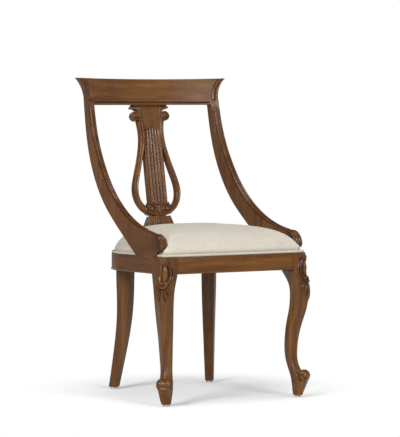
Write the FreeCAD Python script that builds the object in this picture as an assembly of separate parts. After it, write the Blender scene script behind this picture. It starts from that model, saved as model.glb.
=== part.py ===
import FreeCAD, Part
# Lyre back side chair: a carved hardwood frame with an upholstered seat.
# Millimetres. X to the right of someone who faces the chair, Y to the back, Z up,
# with the floor at Z 0. "Left" and "right" are as that person sees them.
# Everything is first laid out on the chair's own datum, where the round back of
# the seat frame starts near Y 50, and is centred front to back at the end.
import math
import os
from FreeCAD import Placement, Rotation, Vector

# Heights
crest_bottom_height = 857.5
crest_height = 82.5
seat_height = 427.0
rail_height = 49.0
glide_height = 7.0

# Seat frame, seen from above
frame_width = 472.0
front_rail_face = -230.0
round_back_start = 50.0
round_back_radius = 200.0
rail_thickness = 30.0
seat_pitch = 1.1

# Front legs
leg_block_width = 45.5
leg_block_depth = 72.5
leg_block_proud = 2.5
leg_block_drop = 6.0
leg_block_rounding = 3.0
front_foot_inset_side = 16.6
front_foot_inset_front = 17.8
toe_radius = 17.5
toe_rounding = 12.0
toe_length = 46.0
toe_reach = 17.5
toe_height = 63.5
toe_web_reach = 13.0
toe_web_inner = 6.0
toe_web_foot_width = 22.0
toe_web_top_width = 32.0
toe_web_rounding = 4.0

# Rear legs
rear_leg_turn = 38.0
rear_leg_depth = 46.0
rear_leg_width = 40.0
rear_leg_inset = 2.0
rear_foot_depth = 27.0
rear_foot_width = 24.7
rear_sweep = 41.0
rear_sweep_turn = 32.0
rear_head_drop = 6.0
rear_shoulder = 12.0
rear_leg_rounding = 4.0
wood_clearance = 0.3

# Sweeping posts that come down as arms
post_thickness = 25.0
post_lean_in = 1.2
post_skew = 6.0
post_top_front = 271.6
post_top_depth = 27.0
arm_foot_back = -53.0
arm_foot_front = -187.0
arm_nose_front = -213.0
arm_nose_rise = 63.0
mitre_rise = 18.5
arm_brow_back = 56.0
trim_allowance = 5.0

# Crest rail
crest_radius = 866.0
crest_thickness_bottom = 26.0
crest_thickness_top = 21.0
crest_lean = 20.0
crest_dip = 3.5
ear_reach = 28.7

# Lyre splat, measured along its own lean
splat_thickness = 20.0
splat_base_thickness = 26.0
splat_foot_y = 226.3
column_half_width = 31.0
column_waist = 26.2
capital_half_width = 65.0
capital_neck_half_width = 55.0
capital_lip_drop = 11.0
capital_lip_height = 2.5
capital_shoulder_width = 21.0
column_top_flare = 3.0
volute_radius = 15.0
volute_centre = 49.5
volute_drop = 35.5
lyre_half_width = 79.5
volute_proud = 2.5
scroll_block_half_width = 41.0
scroll_block_height = 36.0
scroll_block_foot = 101.5
collar_half_width = 34.0
collar_height = 5.0
scroll_eye_radius = 14.0
scroll_eye_centre = 25.5
scroll_eye_proud = 2.0
shoe_half_width = 57.0
shoe_neck_half_width = 37.0
shoe_neck_depth = 22.0
shoe_depth = 33.0
shoe_setback = 7.0
plinth_height = 37.0
flute_count = 5
flute_radius = 3.6
flute_pitch = 10.4
flute_depth = 1.8

# Seat
board_thickness = 12.0
board_inset = 11.0
cover_thickness = 1.6
cover_gap = 0.4
welt_radius = 4.0
welt_flat = 0.3
welt_corner = 14.0
cushion_rise = 84.0
cushion_edge_inset = 8.0
cushion_crown_inset = 182.0
cushion_drawn_in = 1.4
cushion_steps = 9
board_corner = 8.0
soft_clearance = 0.5
dust_cover_thickness = 0.6
dust_cover_margin = 1.5

# Blocks, dowels, screws and glides
block_height = 30.0
block_drop = 2.0
corner_block_reach = 70.0
cleat_width = 30.0
cleat_length = 60.0
cleat_setback = 10.0
dowel_radius = 4.0
small_dowel_radius = 3.5
crest_dowel_spacing = 12.0
lyre_pin_radius = 3.0
lyre_pin_length = 14.0
dowel_length = 36.0
dowel_clearance = 0.1
dowel_end_space = 1.0
screw_radius = 2.1
screw_head_radius = 4.2
screw_head_height = 3.0
screw_clearance = 0.1
seat_screw_inset = 12.0
block_screw_sink = 3.0
glide_radius = 10.0
glide_nail_radius = 1.2
glide_nail_length = 16.0

# Sizes that follow from those above
crest_top_height = crest_bottom_height + crest_height
half_frame = frame_width / 2
round_centre_x = half_frame - round_back_radius
rail_bottom = seat_height - rail_height
block_inner_x = half_frame + leg_block_proud - leg_block_width
block_front_y = front_rail_face - leg_block_proud
block_back_y = block_front_y + leg_block_depth
inner_half_frame = half_frame - rail_thickness
front_rail_inner = front_rail_face + rail_thickness
post_height = crest_bottom_height - seat_height
far = 2000.0

parts = {}
holes = {}
UP = Vector(0, 0, 1)


def mirrored(shape):
    return shape.mirror(Vector(0, 0, 0), Vector(1, 0, 0))


def both_sides(name, shape):
    parts[name + "_right"] = shape
    parts[name + "_left"] = mirrored(shape)


def box(low, high):
    size = [b - a for a, b in zip(low, high)]
    return Part.makeBox(size[0], size[1], size[2], Vector(*low))


def line(start, end):
    return Part.LineSegment(Vector(*start), Vector(*end)).toShape()


def arc(start, middle, end):
    return Part.Arc(Vector(*start), Vector(*middle), Vector(*end)).toShape()


def spline(points):
    curve = Part.BSplineCurve()
    curve.interpolate([Vector(*p) for p in points])
    return curve.toShape()


def filled(edges):
    return Part.Face(Part.Wire(Part.__sortEdges__(edges)))


def polygon(points):
    closed = [Vector(*p) for p in points + points[:1]]
    return Part.Face(Part.makePolygon(closed))


def grouped(solids):
    return Part.makeCompound(solids)


def pitched(shape):
    """Lays a level shape on the seat's slope, which turns about the front rail's top edge."""
    turned = shape.copy()
    turned.rotate(Vector(0, front_rail_face, seat_height), Vector(1, 0, 0), -seat_pitch)
    return turned


def rail_top(y):
    return seat_height - (y - front_rail_face) * math.tan(math.radians(seat_pitch))


def below_seat_plane():
    return pitched(box((-far, -far, -far), (far, far, seat_height)))


def above_seat_plane():
    return pitched(box((-far, -far, seat_height), (far, far, far)))


def rail_slab():
    return pitched(box((-far, -far, rail_bottom), (far, far, seat_height)))


# Outlines of the seat frame

def seat_outline(inset, corner, height):
    """The seat's D shape in plan: straight front and sides, and a back of two quarter rounds."""
    wide = half_frame - inset
    front = front_rail_face + inset
    turn = round_back_radius - inset
    back = round_back_start + turn
    slant = math.sqrt(0.5)
    edges = []
    edges.append(line((corner - wide, front, height), (wide - corner, front, height)))
    for side in (1, -1):
        outer = side * wide
        centre = side * (wide - corner)
        near = (centre, front, height)
        bend = (centre + side * corner * slant, front + corner * (1 - slant), height)
        side_start = (outer, front + corner, height)
        side_end = (outer, round_back_start, height)
        middle_x = side * (round_centre_x + turn * slant)
        middle = (middle_x, round_back_start + turn * slant, height)
        back_corner = (side * round_centre_x, back, height)
        edges.append(arc(near, bend, side_start))
        edges.append(line(side_start, side_end))
        edges.append(arc(side_end, middle, back_corner))
    edges.append(line((round_centre_x, back, height), (-round_centre_x, back, height)))
    return Part.Wire(Part.__sortEdges__(edges))


def prism(wire, height):
    return Part.Face(wire).extrude(Vector(0, 0, height))


def frame_ring(grow=0.0):
    """The rails' whole ring, taller than the rails. grow widens it on both faces."""
    tall = 3 * rail_height
    low = rail_bottom - rail_height
    outer = prism(seat_outline(-grow, 1.0, low), tall)
    inner = prism(seat_outline(rail_thickness + grow, 1.0, low), tall)
    return outer.cut(inner)


# Seat rails

def make_rails():
    ring = frame_ring().common(rail_slab())
    front_zone = box((-block_inner_x, -far, 0), (block_inner_x, front_rail_inner + 1, far))
    parts["seat_rail_front"] = ring.common(front_zone)
    side_zone = box((0, block_back_y, 0), (far, round_back_start, far))
    both_sides("seat_rail", ring.common(side_zone))
    back_zone = box((-far, round_back_start, 0), (far, far, far))
    parts["seat_rail_back"] = ring.common(back_zone)


# Front legs

def rounded_rectangle(centre, size, corner, height, turn=0.0):
    """A rectangle with round corners, as one wire, turned about its centre."""
    x, y = size[0] / 2, size[1] / 2
    cut = corner * (1 - math.sqrt(0.5))
    ends = [(x, corner - y), (x, y - corner), (x - corner, y), (corner - x, y),
            (-x, y - corner), (-x, corner - y), (corner - x, -y), (x - corner, -y)]
    signs = [(1, 1), (-1, 1), (-1, -1), (1, -1)]
    edges = []
    for i, (sx, sy) in enumerate(signs):
        start, bend_start, bend_end = ends[2 * i], ends[2 * i + 1], ends[(2 * i + 2) % 8]
        edges.append(line(start + (0,), bend_start + (0,)))
        bend = (sx * (x - cut), sy * (y - cut), 0)
        edges.append(arc(bend_start + (0,), bend, bend_end + (0,)))
    wire = Part.Wire(edges)
    wire.Placement = Placement(Vector(centre[0], centre[1], height), Rotation(UP, turn))
    return wire


# Front leg stations, from the foot to the underside of the rail: share of the height,
# shift outwards, shift backwards, width, depth and corner radius
front_leg_stations = [
    (0.00, 0.0, 0.0, 23.0, 23.0, 5.0),
    (0.09, 1.6, -1.1, 32.0, 32.0, 7.0),
    (0.15, 0.3, 1.1, 34.6, 34.6, 8.0),
    (0.21, -5.6, 9.4, 31.0, 31.0, 8.0),
    (0.28, -10.0, 17.5, 30.0, 30.0, 8.0),
    (0.37, -10.8, 20.8, 32.5, 32.5, 8.5),
    (0.48, -8.5, 19.0, 35.5, 35.5, 9.0),
    (0.59, -3.5, 12.8, 39.5, 39.5, 9.5),
    (0.69, 2.4, 5.2, 43.0, 43.0, 10.0),
    (0.80, 6.0, 1.2, 46.5, 46.5, 10.5),
    (0.90, 5.0, 3.0, 49.5, 51.0, 9.0),
]


def front_foot_centre():
    return half_frame - front_foot_inset_side, front_rail_face + front_foot_inset_front


def front_leg():
    foot_x, foot_y = front_foot_centre()
    top = rail_bottom - leg_block_drop
    height = top - glide_height
    wires = []
    for share, out, back, width, depth, corner in front_leg_stations:
        centre = (foot_x + out, foot_y + back)
        z = glide_height + share * height
        wires.append(rounded_rectangle(centre, (width, depth), corner, z))
    block_centre = (block_inner_x + leg_block_width / 2, block_front_y + leg_block_depth / 2)
    block_size = (leg_block_width, leg_block_depth)
    wires.append(rounded_rectangle(block_centre, block_size, leg_block_rounding, top))
    shaft = Part.makeLoft(wires, True, False)
    low = (block_inner_x, block_front_y, top)
    high = (block_inner_x + leg_block_width, block_back_y, far)
    block = box(low, high).common(below_seat_plane())
    return shaft.fuse([block, front_toe(), toe_web()]).removeSplitter()


def toe_web():
    """The foot's face under the scroll, widening upwards until it touches the scroll."""
    foot_x, foot_y = front_foot_centre()
    rise, run = toe_height - glide_height, toe_reach - toe_web_reach
    lean = math.atan2(rise, run) - math.asin(toe_radius / math.hypot(rise, run))
    slope = math.sqrt(rise ** 2 + run ** 2 - toe_radius ** 2)
    touch = (toe_web_reach + slope * math.cos(lean), toe_web_top_width,
             glide_height + slope * math.sin(lean))
    wires = []
    for reach, width, height in ((toe_web_reach, toe_web_foot_width, glide_height), touch):
        shift = (reach - toe_web_inner) / 2 * math.sqrt(0.5)
        size = (reach + toe_web_inner, width)
        centre = (foot_x + shift, foot_y - shift)
        wires.append(rounded_rectangle(centre, size, toe_web_rounding, height, -45.0))
    return Part.makeLoft(wires, True, True)


def front_toe():
    """The scroll across the toe: a round bar, square to the leg's outward diagonal."""
    foot_x, foot_y = front_foot_centre()
    slant = math.sqrt(0.5)
    along = Vector(slant, slant, 0)
    centre = Vector(foot_x + toe_reach * slant, foot_y - toe_reach * slant, toe_height)
    bar = Part.makeCylinder(toe_radius, toe_length, centre - along * (toe_length / 2), along)
    rims = [edge for edge in bar.Edges if edge.Closed]
    return bar.makeFillet(toe_rounding, rims)


# Rear leg stations: share of the height, share of the backward sweep, growth of the
# depth and growth of the width, each from 0 at the foot to 1 at the rail
rear_leg_stations = [
    (0.00, 1.00, 0.00, 0.00),
    (0.15, 0.73, 0.15, 0.20),
    (0.37, 0.36, 0.38, 0.46),
    (0.58, 0.10, 0.60, 0.72),
    (0.80, 0.01, 0.82, 0.97),
    (1.00, 0.00, 1.00, 1.00),
]


def rear_leg_top_centre():
    turn = math.radians(rear_leg_turn)
    reach = round_back_radius - rear_leg_inset - rear_leg_depth / 2
    return round_centre_x + reach * math.sin(turn), round_back_start + reach * math.cos(turn)


def rear_foot_centre():
    x, y = rear_leg_top_centre()
    sweep = math.radians(rear_sweep_turn)
    return x + rear_sweep * math.sin(sweep), y + rear_sweep * math.cos(sweep)


def rear_leg():
    top_x, top_y = rear_leg_top_centre()
    foot_x, foot_y = rear_foot_centre()
    shaft_top = rail_bottom - rear_shoulder
    height = shaft_top - glide_height
    wires = []
    for share, swept, deeper, wider in rear_leg_stations:
        centre = (top_x + swept * (foot_x - top_x), top_y + swept * (foot_y - top_y))
        depth = rear_foot_depth + deeper * (rear_leg_depth - rear_foot_depth)
        width = rear_foot_width + wider * (rear_leg_width - rear_foot_width)
        z = glide_height + share * height
        wires.append(rounded_rectangle(centre, (width, depth), rear_leg_rounding, z, -rear_leg_turn))
    shaft = Part.makeLoft(wires, True, False)
    head = Part.Face(wires[-1]).extrude(Vector(0, 0, rail_height + 2 * rear_shoulder))
    lowered = below_seat_plane().translated(Vector(0, 0, -rear_head_drop))
    above_rail_bottom = pitched(box((-far, -far, rail_bottom), (far, far, far)))
    rail_room = frame_ring(wood_clearance).common(above_rail_bottom)
    head = head.common(lowered).cut(rail_room)
    return shaft.fuse(head).removeSplitter()


# Sweeping posts

def post_outer_x(z):
    return half_frame - (z - seat_height) * math.tan(math.radians(post_lean_in))


def post_inner_x(z):
    return post_outer_x(z) - post_thickness / math.cos(math.radians(post_lean_in))


def post_outline():
    """The post and arm in side view, as a face at X 0: foot, back edge, top, front edge, nose."""
    top_back = post_top_front + post_top_depth

    def back_point(along, up):
        y = arm_foot_back + along * (top_back - arm_foot_back)
        return (0, y, seat_height + up * post_height)

    def front_point(along, up):
        y = arm_nose_front + along * (post_top_front - arm_nose_front)
        return (0, y, seat_height + up * post_height)

    def nose_point(in_from_front, up):
        return (0, arm_nose_front + in_from_front, seat_height + up * arm_nose_rise)

    rise = mitre_rise + trim_allowance
    share = rise / crest_height
    narrowing = crest_thickness_bottom - crest_thickness_top
    post_end = crest_bottom_height + rise
    back_end = (0, top_back + share * (crest_lean - narrowing), post_end)
    front_end = (0, post_top_front + share * crest_lean, post_end)
    foot_back = (0, arm_foot_back, seat_height - rail_height / 2)
    foot_front = (0, arm_foot_front, seat_height - rail_height / 2)
    heel = back_point(0.0, 0.0)
    back_start = back_point(0.336, 0.173)
    back_top = back_point(1.0, 1.0)
    back_curve = [back_start, back_point(0.596, 0.329), back_point(0.771, 0.49),
                  back_point(0.885, 0.655), back_point(0.954, 0.822), back_top]
    front_top = front_point(1.0, 1.0)
    brow = (0, arm_nose_front + arm_brow_back, seat_height + arm_nose_rise)
    front_curve = [front_top, front_point(0.953, 0.822), front_point(0.878, 0.657),
                   front_point(0.769, 0.494), front_point(0.607, 0.335),
                   front_point(0.487, 0.258), front_point(0.237, 0.167), brow]
    nose_tip = nose_point(0.0, 0.44)
    chin_end = nose_point(18.0, 0.2)
    throat = (0, arm_foot_front, seat_height + 0.18 * arm_nose_rise)
    edges = [line(foot_back, heel), line(heel, back_start), spline(back_curve)]
    edges.append(line(back_top, back_end))
    edges.append(line(back_end, front_end))
    edges.append(line(front_end, front_top))
    edges.append(spline(front_curve))
    edges.append(arc(brow, nose_point(14.0, 0.83), nose_tip))
    edges.append(arc(nose_tip, nose_point(5.5, 0.26), chin_end))
    edges.append(line(chin_end, throat))
    edges.append(line(throat, foot_front))
    edges.append(line(foot_front, foot_back))
    return filled(edges)


def plank(face, thickness, skew):
    """Thickens a side outline into the right post's plank, leaning in at the top."""
    placed = face.copy()
    placed.translate(Vector(half_frame, 0, 0))
    solid = placed.extrude(Vector(-thickness, skew, 0))
    solid.rotate(Vector(half_frame, 0, seat_height), Vector(0, 1, 0), -post_lean_in)
    return solid


def sweeping_post():
    """Sawn from a thick plank, its front turned to follow the crest rail's curve."""
    post = plank(post_outline(), post_thickness, post_skew)
    return post.cut(above_mitre()).common(above_seat_plane())


def sweeping_arm_room(gap):
    """The space that the right arm needs in the seat: its outline grown by the gap."""
    outline = post_outline().makeOffset2D(gap)
    thickness = post_thickness + gap
    room = plank(outline, thickness, post_skew * thickness / post_thickness)
    outside = room.copy()
    outside.translate(Vector(post_thickness, 0, 0))
    return room.fuse(outside)


def above_mitre():
    """All that lies above the sloping joint between the right post and the crest rail."""
    low_z = crest_bottom_height
    high_z = crest_bottom_height + mitre_rise
    low_x = post_inner_x(low_z)
    high_x = post_outer_x(high_z)
    slope = (high_z - low_z) / (high_x - low_x)
    spread = 30.0
    corners = [(low_x - spread, -far, low_z - spread * slope),
               (high_x + spread, -far, high_z + spread * slope),
               (high_x + spread, -far, far), (low_x - spread, -far, far)]
    return polygon(corners).extrude(Vector(0, 2 * far, 0))


# Crest rail

def crest_front_y():
    """The middle of the crest's front, at its lower edge, from the posts that it meets."""
    x = post_outer_x(crest_bottom_height)
    return post_top_front + crest_radius - math.sqrt(crest_radius ** 2 - x ** 2)


def crest_section(z):
    share = (z - crest_bottom_height) / crest_height
    thickness = crest_thickness_bottom + share * (crest_thickness_top - crest_thickness_bottom)
    front = crest_front_y() + share * crest_lean
    centre = front - crest_radius
    half = half_frame + ear_reach

    def point(radius, x):
        return (x, centre + math.sqrt(radius ** 2 - x ** 2), z)

    back_radius = crest_radius + thickness
    edges = [arc(point(crest_radius, -half), point(crest_radius, 0), point(crest_radius, half))]
    edges.append(line(point(crest_radius, half), point(back_radius, half)))
    edges.append(arc(point(back_radius, half), point(back_radius, 0), point(back_radius, -half)))
    edges.append(line(point(back_radius, -half), point(crest_radius, -half)))
    return Part.Wire(edges)


def crest_outline():
    """The crest in front view: straight below, mitred at the posts, flared ears, dipped top."""
    low_z = crest_bottom_height
    mitre_z = low_z + mitre_rise
    inner = post_inner_x(low_z)
    outer = post_outer_x(mitre_z)
    tip = outer + ear_reach
    climb = crest_top_height - mitre_z
    radius = (climb ** 2 + ear_reach ** 2) / (2 * ear_reach)
    bend = outer + radius - math.sqrt(radius ** 2 - (climb / 2) ** 2)
    edges = [line((-inner, -far, low_z), (inner, -far, low_z))]
    for side in (1, -1):
        edges.append(line((side * inner, -far, low_z), (side * outer, -far, mitre_z)))
        middle = (side * bend, -far, mitre_z + climb / 2)
        edges.append(arc((side * outer, -far, mitre_z), middle,
                         (side * tip, -far, crest_top_height)))
    top_middle = (0, -far, crest_top_height - crest_dip)
    edges.append(arc((tip, -far, crest_top_height), top_middle, (-tip, -far, crest_top_height)))
    return filled(edges)


def crest_rail():
    wires = [crest_section(crest_bottom_height), crest_section(crest_top_height + trim_allowance)]
    slab = Part.makeLoft(wires, True, True)
    return slab.common(crest_outline().extrude(Vector(0, 2 * far, 0)))


# Lyre splat, laid out upright and then leaned back: X across, Y through, Z along it

def splat_foot_z():
    return rail_top(splat_foot_y)


def splat_run():
    return crest_front_y() + crest_thickness_bottom / 2 - splat_foot_y


def splat_lean():
    return math.degrees(math.atan2(splat_run(), crest_bottom_height - splat_foot_z()))


def splat_length():
    return math.hypot(splat_run(), crest_bottom_height - splat_foot_z())


def leaned(shape):
    turned = shape.copy()
    turned.rotate(Vector(0, 0, 0), Vector(1, 0, 0), -splat_lean())
    turned.translate(Vector(0, splat_foot_y, splat_foot_z()))
    return turned


def column_foot():
    return scroll_block_foot + scroll_block_height + collar_height


def lyre_point(bulge, share):
    """A point of the lyre's outline: bulge from the column's side to the widest place, and
    share of the height from the foot of the scroll block to the volutes' centres."""
    height = splat_length() - volute_drop - scroll_block_foot
    x = column_half_width + bulge * (lyre_half_width - column_half_width)
    return (x, 0, scroll_block_foot + share * height)


def column_side():
    """The curve where the column's side and the lyre arm lie against each other."""
    start = lyre_point(0.0, 0.685)
    waist = (column_waist,) + lyre_point(0.0, 0.837)[1:]
    end = (column_half_width + column_top_flare,) + lyre_point(0.0, 0.983)[1:]
    return [start, waist, end]


def lyre_column():
    length = splat_length()
    foot = column_foot()
    side = column_side()
    tip = length - capital_lip_drop
    shoulder = (column_half_width + capital_shoulder_width, 0, tip - capital_lip_height / 2)
    lip = (capital_half_width, 0, tip)
    lip_top = (capital_half_width - capital_lip_height, 0, tip + capital_lip_height)
    neck = (capital_neck_half_width, 0, tip + 2 * capital_lip_height)
    end = (capital_neck_half_width, 0, length + splat_thickness)
    foot_point = (column_half_width, 0, foot)
    edges = [line((0, 0, foot), foot_point), line(foot_point, side[0]), spline(side)]
    bend_z = (side[2][2] + shoulder[2]) / 2 + capital_lip_height
    bend = (column_half_width + 0.4 * capital_shoulder_width, 0, bend_z)
    edges.append(spline([side[2], bend, shoulder]))
    edges.append(line(shoulder, lip))
    edges.append(line(lip, lip_top))
    edges.append(line(lip_top, neck))
    edges.append(line(neck, end))
    edges.append(line(end, (0, 0, end[2])))
    edges.append(line((0, 0, end[2]), (0, 0, foot)))
    half = filled(edges).extrude(Vector(0, splat_thickness, 0))
    half.translate(Vector(0, -splat_thickness / 2, 0))
    column = half.fuse(mirrored(half)).removeSplitter()
    for i in range(flute_count):
        column = column.cut(flute(i))
    above_crest_joint = box((-far, -far, crest_bottom_height), (far, far, far))
    return leaned(column).cut(above_crest_joint)


def flute(i):
    """One hollow of the column's front, with a round top, fading out above the waist."""
    x = (i - (flute_count - 1) / 2) * flute_pitch
    bottom = column_foot() + flute_radius
    top = lyre_point(0.0, 0.86)[2] if abs(x) < flute_pitch * 1.5 else lyre_point(0.0, 0.62)[2]
    y = -splat_thickness / 2 - flute_radius + flute_depth
    rod = Part.makeCylinder(flute_radius, top - bottom, Vector(x, y, bottom))
    return rod.fuse(Part.makeSphere(flute_radius, Vector(x, y, top)))


def lyre_arm():
    side = column_side()
    outer = [lyre_point(*p) for p in ((0.196, 0.837), (0.373, 0.626), (0.833, 0.387),
                                      (1.0, 0.265), (0.863, 0.146), (0.373, 0.046))]
    inner = [lyre_point(*p) for p in ((0.225, 0.559), (0.441, 0.44), (0.657, 0.322),
                                      (0.696, 0.222), (0.539, 0.143))]
    outer_start = (volute_centre - 0.25 * volute_radius,) + lyre_point(0.0, 0.973)[1:]
    outer_end = (scroll_block_half_width, 0, lyre_point(0.0, 0.03)[2])
    inner_end = (scroll_block_half_width, 0, lyre_point(0.0, 0.09)[2])
    edges = [spline(side), line(side[2], outer_start)]
    edges.append(spline([outer_start] + outer + [outer_end]))
    edges.append(line(outer_end, inner_end))
    edges.append(spline([side[0]] + inner + [inner_end]))
    bow = filled(edges).extrude(Vector(0, splat_thickness, 0))
    bow.translate(Vector(0, -splat_thickness / 2, 0))
    thickness = splat_thickness + 2 * volute_proud
    centre = Vector(volute_centre, -thickness / 2, splat_length() - volute_drop)
    volute = Part.makeCylinder(volute_radius, thickness, centre, Vector(0, 1, 0))
    return leaned(bow.fuse(volute).removeSplitter())


def lyre_scroll_block():
    half_depth = splat_base_thickness / 2
    low = (-scroll_block_half_width, -half_depth, scroll_block_foot)
    block_top = scroll_block_foot + scroll_block_height
    block = box(low, (scroll_block_half_width, half_depth, block_top))
    collar = box((-collar_half_width, -half_depth, block_top),
                 (collar_half_width, half_depth, column_foot()))
    eyes = []
    depth = splat_base_thickness + 2 * scroll_eye_proud
    for side in (1, -1):
        centre = Vector(side * scroll_eye_centre, -depth / 2,
                        scroll_block_foot + scroll_block_height * 0.6)
        eyes.append(Part.makeCylinder(scroll_eye_radius, depth, centre, Vector(0, 1, 0)))
    return leaned(block.fuse([collar] + eyes).removeSplitter())


def lyre_shoe():
    """The flared foot under the scrolls, on a plinth that stands on the back rail."""
    wires = []
    for share, flare in ((0.0, 1.0), (0.36, 0.85), (0.67, 0.45), (1.0, 0.0)):
        half = shoe_neck_half_width + flare * (shoe_half_width - shoe_neck_half_width)
        depth = shoe_neck_depth + flare * (shoe_depth - shoe_neck_depth)
        z = plinth_height + share * (scroll_block_foot - plinth_height)
        wires.append(rounded_rectangle((0, shoe_setback * flare), (2 * half, depth), 2.0, z))
    flare_solid = Part.makeLoft(wires, True, False)
    low = (-shoe_half_width, shoe_setback - shoe_depth / 2, -rail_height / 2)
    high = (shoe_half_width, shoe_setback + shoe_depth / 2, plinth_height)
    shoe = leaned(flare_solid.fuse(box(low, high)).removeSplitter())
    return shoe.common(above_seat_plane())


# Seat

def cushion_wires(inward):
    """Level outlines of the crowned cushion, all round inward smaller than its outside. The
    sides rise steeply from behind the welt and are drawn in a little at their foot."""
    wires = []
    for i in range(cushion_steps + 1):
        angle = math.radians(88.0) * i / cushion_steps
        spread = (1 - math.cos(angle)) ** 1.25
        inset = cushion_edge_inset + spread * cushion_crown_inset
        if i == 0:
            inset += cushion_drawn_in
        height = seat_height + math.sin(angle) * (cushion_rise - inward)
        corner = min(welt_corner + 0.3 * inset, 0.5 * (half_frame - inset - inward))
        wires.append(seat_outline(inset + inward, corner, height))
    return wires


def cushion_form(inward):
    return Part.makeLoft(cushion_wires(inward), True, False)


def cushion_skin():
    """The cover as a skin of even thickness, open below."""
    outer = cushion_wires(0.0)
    inner = cushion_wires(cover_thickness)
    hem = Part.Face([outer[0], inner[0]])
    faces = [hem]
    for wires in (outer, inner):
        form = Part.makeLoft(wires, True, False)
        faces += [face for face in form.Faces if face.BoundBox.ZMax > seat_height + 1.0]
    shell = Part.Shell(faces)
    shell.sewShape()
    skin = Part.Solid(shell)
    skin.fix(0.001, 0.001, 0.001)
    return skin


def cut_for_woodwork(shape):
    """Opens a seat layer where the arms and the lyre's shoe stand, with clearance."""
    for room in woodwork_room():
        shape = shape.cut(room)
    return shape


def woodwork_room():
    gap = soft_clearance
    arm = sweeping_arm_room(gap)
    half = shoe_half_width + gap
    front = shoe_setback - shoe_depth / 2 - gap
    room = box((-half, front, -rail_height), (half, far, far))
    return [arm, mirrored(arm), leaned(room)]


def make_seat():
    foam = pitched(cushion_form(cover_thickness + cover_gap))
    board_wire = seat_outline(board_inset, board_corner, seat_height)
    board = pitched(prism(board_wire, board_thickness))
    board_top = pitched(box((-far, -far, -far), (far, far, seat_height + board_thickness)))
    parts["seat_board"] = cut_for_woodwork(board)
    parts["seat_foam"] = cut_for_woodwork(foam.cut(board_top))
    parts["seat_cover"] = cut_for_woodwork(pitched(cushion_skin()))
    parts["seat_welt"] = seat_welt()
    parts["dust_cover"] = dust_cover()


def seat_welt():
    """A fabric-covered cord along the cushion's lower edge, in three lengths."""
    z = seat_height + welt_radius - welt_flat
    wide = half_frame - welt_radius
    front = front_rail_face + welt_radius
    lengths = [front_welt(z, wide, front), rear_welt(z, wide)]
    lengths.append(mirrored(lengths[1]))
    level = grouped(lengths).common(box((-far, -far, seat_height), (far, far, far)))
    return cut_for_woodwork(pitched(level))


def front_welt(z, wide, front):
    """From one arm's foot, round both front corners, to the other arm's foot."""
    slant = welt_corner * (1 - math.sqrt(0.5))
    stop = arm_foot_front - soft_clearance
    turn_in = wide - welt_corner
    edges = []
    edges.append(line((-wide, stop, z), (-wide, front + welt_corner, z)))
    edges.append(arc((-wide, front + welt_corner, z), (slant - wide, front + slant, z),
                     (-turn_in, front, z)))
    edges.append(line((-turn_in, front, z), (turn_in, front, z)))
    edges.append(arc((turn_in, front, z), (wide - slant, front + slant, z),
                     (wide, front + welt_corner, z)))
    edges.append(line((wide, front + welt_corner, z), (wide, stop, z)))
    return round_tube(edges, (-wide, stop, z), Vector(0, -1, 0))


def rear_welt(z, wide):
    """From the right arm's foot, round the back, to the lyre's shoe."""
    turn = round_back_radius - welt_radius
    stop = math.asin((shoe_half_width + soft_clearance - round_centre_x) / turn)

    def on_round(angle):
        x = round_centre_x + turn * math.sin(angle)
        return (x, round_back_start + turn * math.cos(angle), z)

    start = (wide, arm_foot_back, z)
    edges = [line(start, (wide, round_back_start, z))]
    edges.append(arc((wide, round_back_start, z), on_round((math.pi / 2 + stop) / 2),
                     on_round(stop)))
    return round_tube(edges, start, Vector(0, 1, 0))


def round_tube(edges, start, direction):
    ring = Part.Wire(Part.makeCircle(welt_radius, Vector(*start), direction))
    return Part.Wire(edges).makePipeShell([ring], True, False)


def dust_cover():
    """Thin black cloth stapled to the underside of the seat board, inside the rails."""
    wire = seat_outline(rail_thickness + dust_cover_margin, 4.0, seat_height - dust_cover_thickness)
    cloth = pitched(prism(wire, dust_cover_thickness))
    for side in (1, -1):
        edge = block_inner_x - dust_cover_margin
        low = (min(side * edge, side * far), -far, 0)
        high = (max(side * edge, side * far), block_back_y + dust_cover_margin, far)
        cloth = cloth.cut(box(low, high))
    return cloth


# Blocks inside the frame

def block_top():
    return rail_top(block_back_y + corner_block_reach) - block_drop


def front_corner_block():
    """A glued block across the front corner, notched round the leg."""
    z = block_top() - block_height
    front = front_rail_inner
    points = [(block_inner_x - corner_block_reach, front, z), (block_inner_x, front, z),
              (block_inner_x, block_back_y, z), (inner_half_frame, block_back_y, z),
              (inner_half_frame, block_back_y + corner_block_reach, z)]
    return polygon(points).extrude(Vector(0, 0, block_height))


def seat_cleat():
    z = cleat_top() - block_height
    low = (inner_half_frame - cleat_width, round_back_start - cleat_length - cleat_setback, z)
    high = (inner_half_frame, round_back_start - cleat_setback, z + block_height)
    return box(low, high)


def cleat_top():
    return rail_top(round_back_start) - block_drop


# Fasteners. Each one cuts its own hole in every piece that it passes through.

def unit(direction):
    vector = Vector(*direction)
    return vector.multiply(1 / vector.Length)


def dowel(group, centre, direction, nodes, radius=dowel_radius, length=dowel_length):
    axis = unit(direction)
    start = Vector(*centre) - axis * (length / 2)
    pin = Part.makeCylinder(radius, length, start, axis)
    hole_length = length + 2 * dowel_end_space
    hole_start = start - axis * dowel_end_space
    hole = Part.makeCylinder(radius + dowel_clearance, hole_length, hole_start, axis)
    record_fastener(group, pin, hole, nodes)


def screw(group, head, direction, length, nodes):
    """A countersunk screw whose head's outer face is centred at head."""
    axis = unit(direction)
    start = Vector(*head)
    record_fastener(group, screw_form(start, axis, length, 0.0),
                    screw_form(start, axis, length, screw_clearance), nodes)


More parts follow.
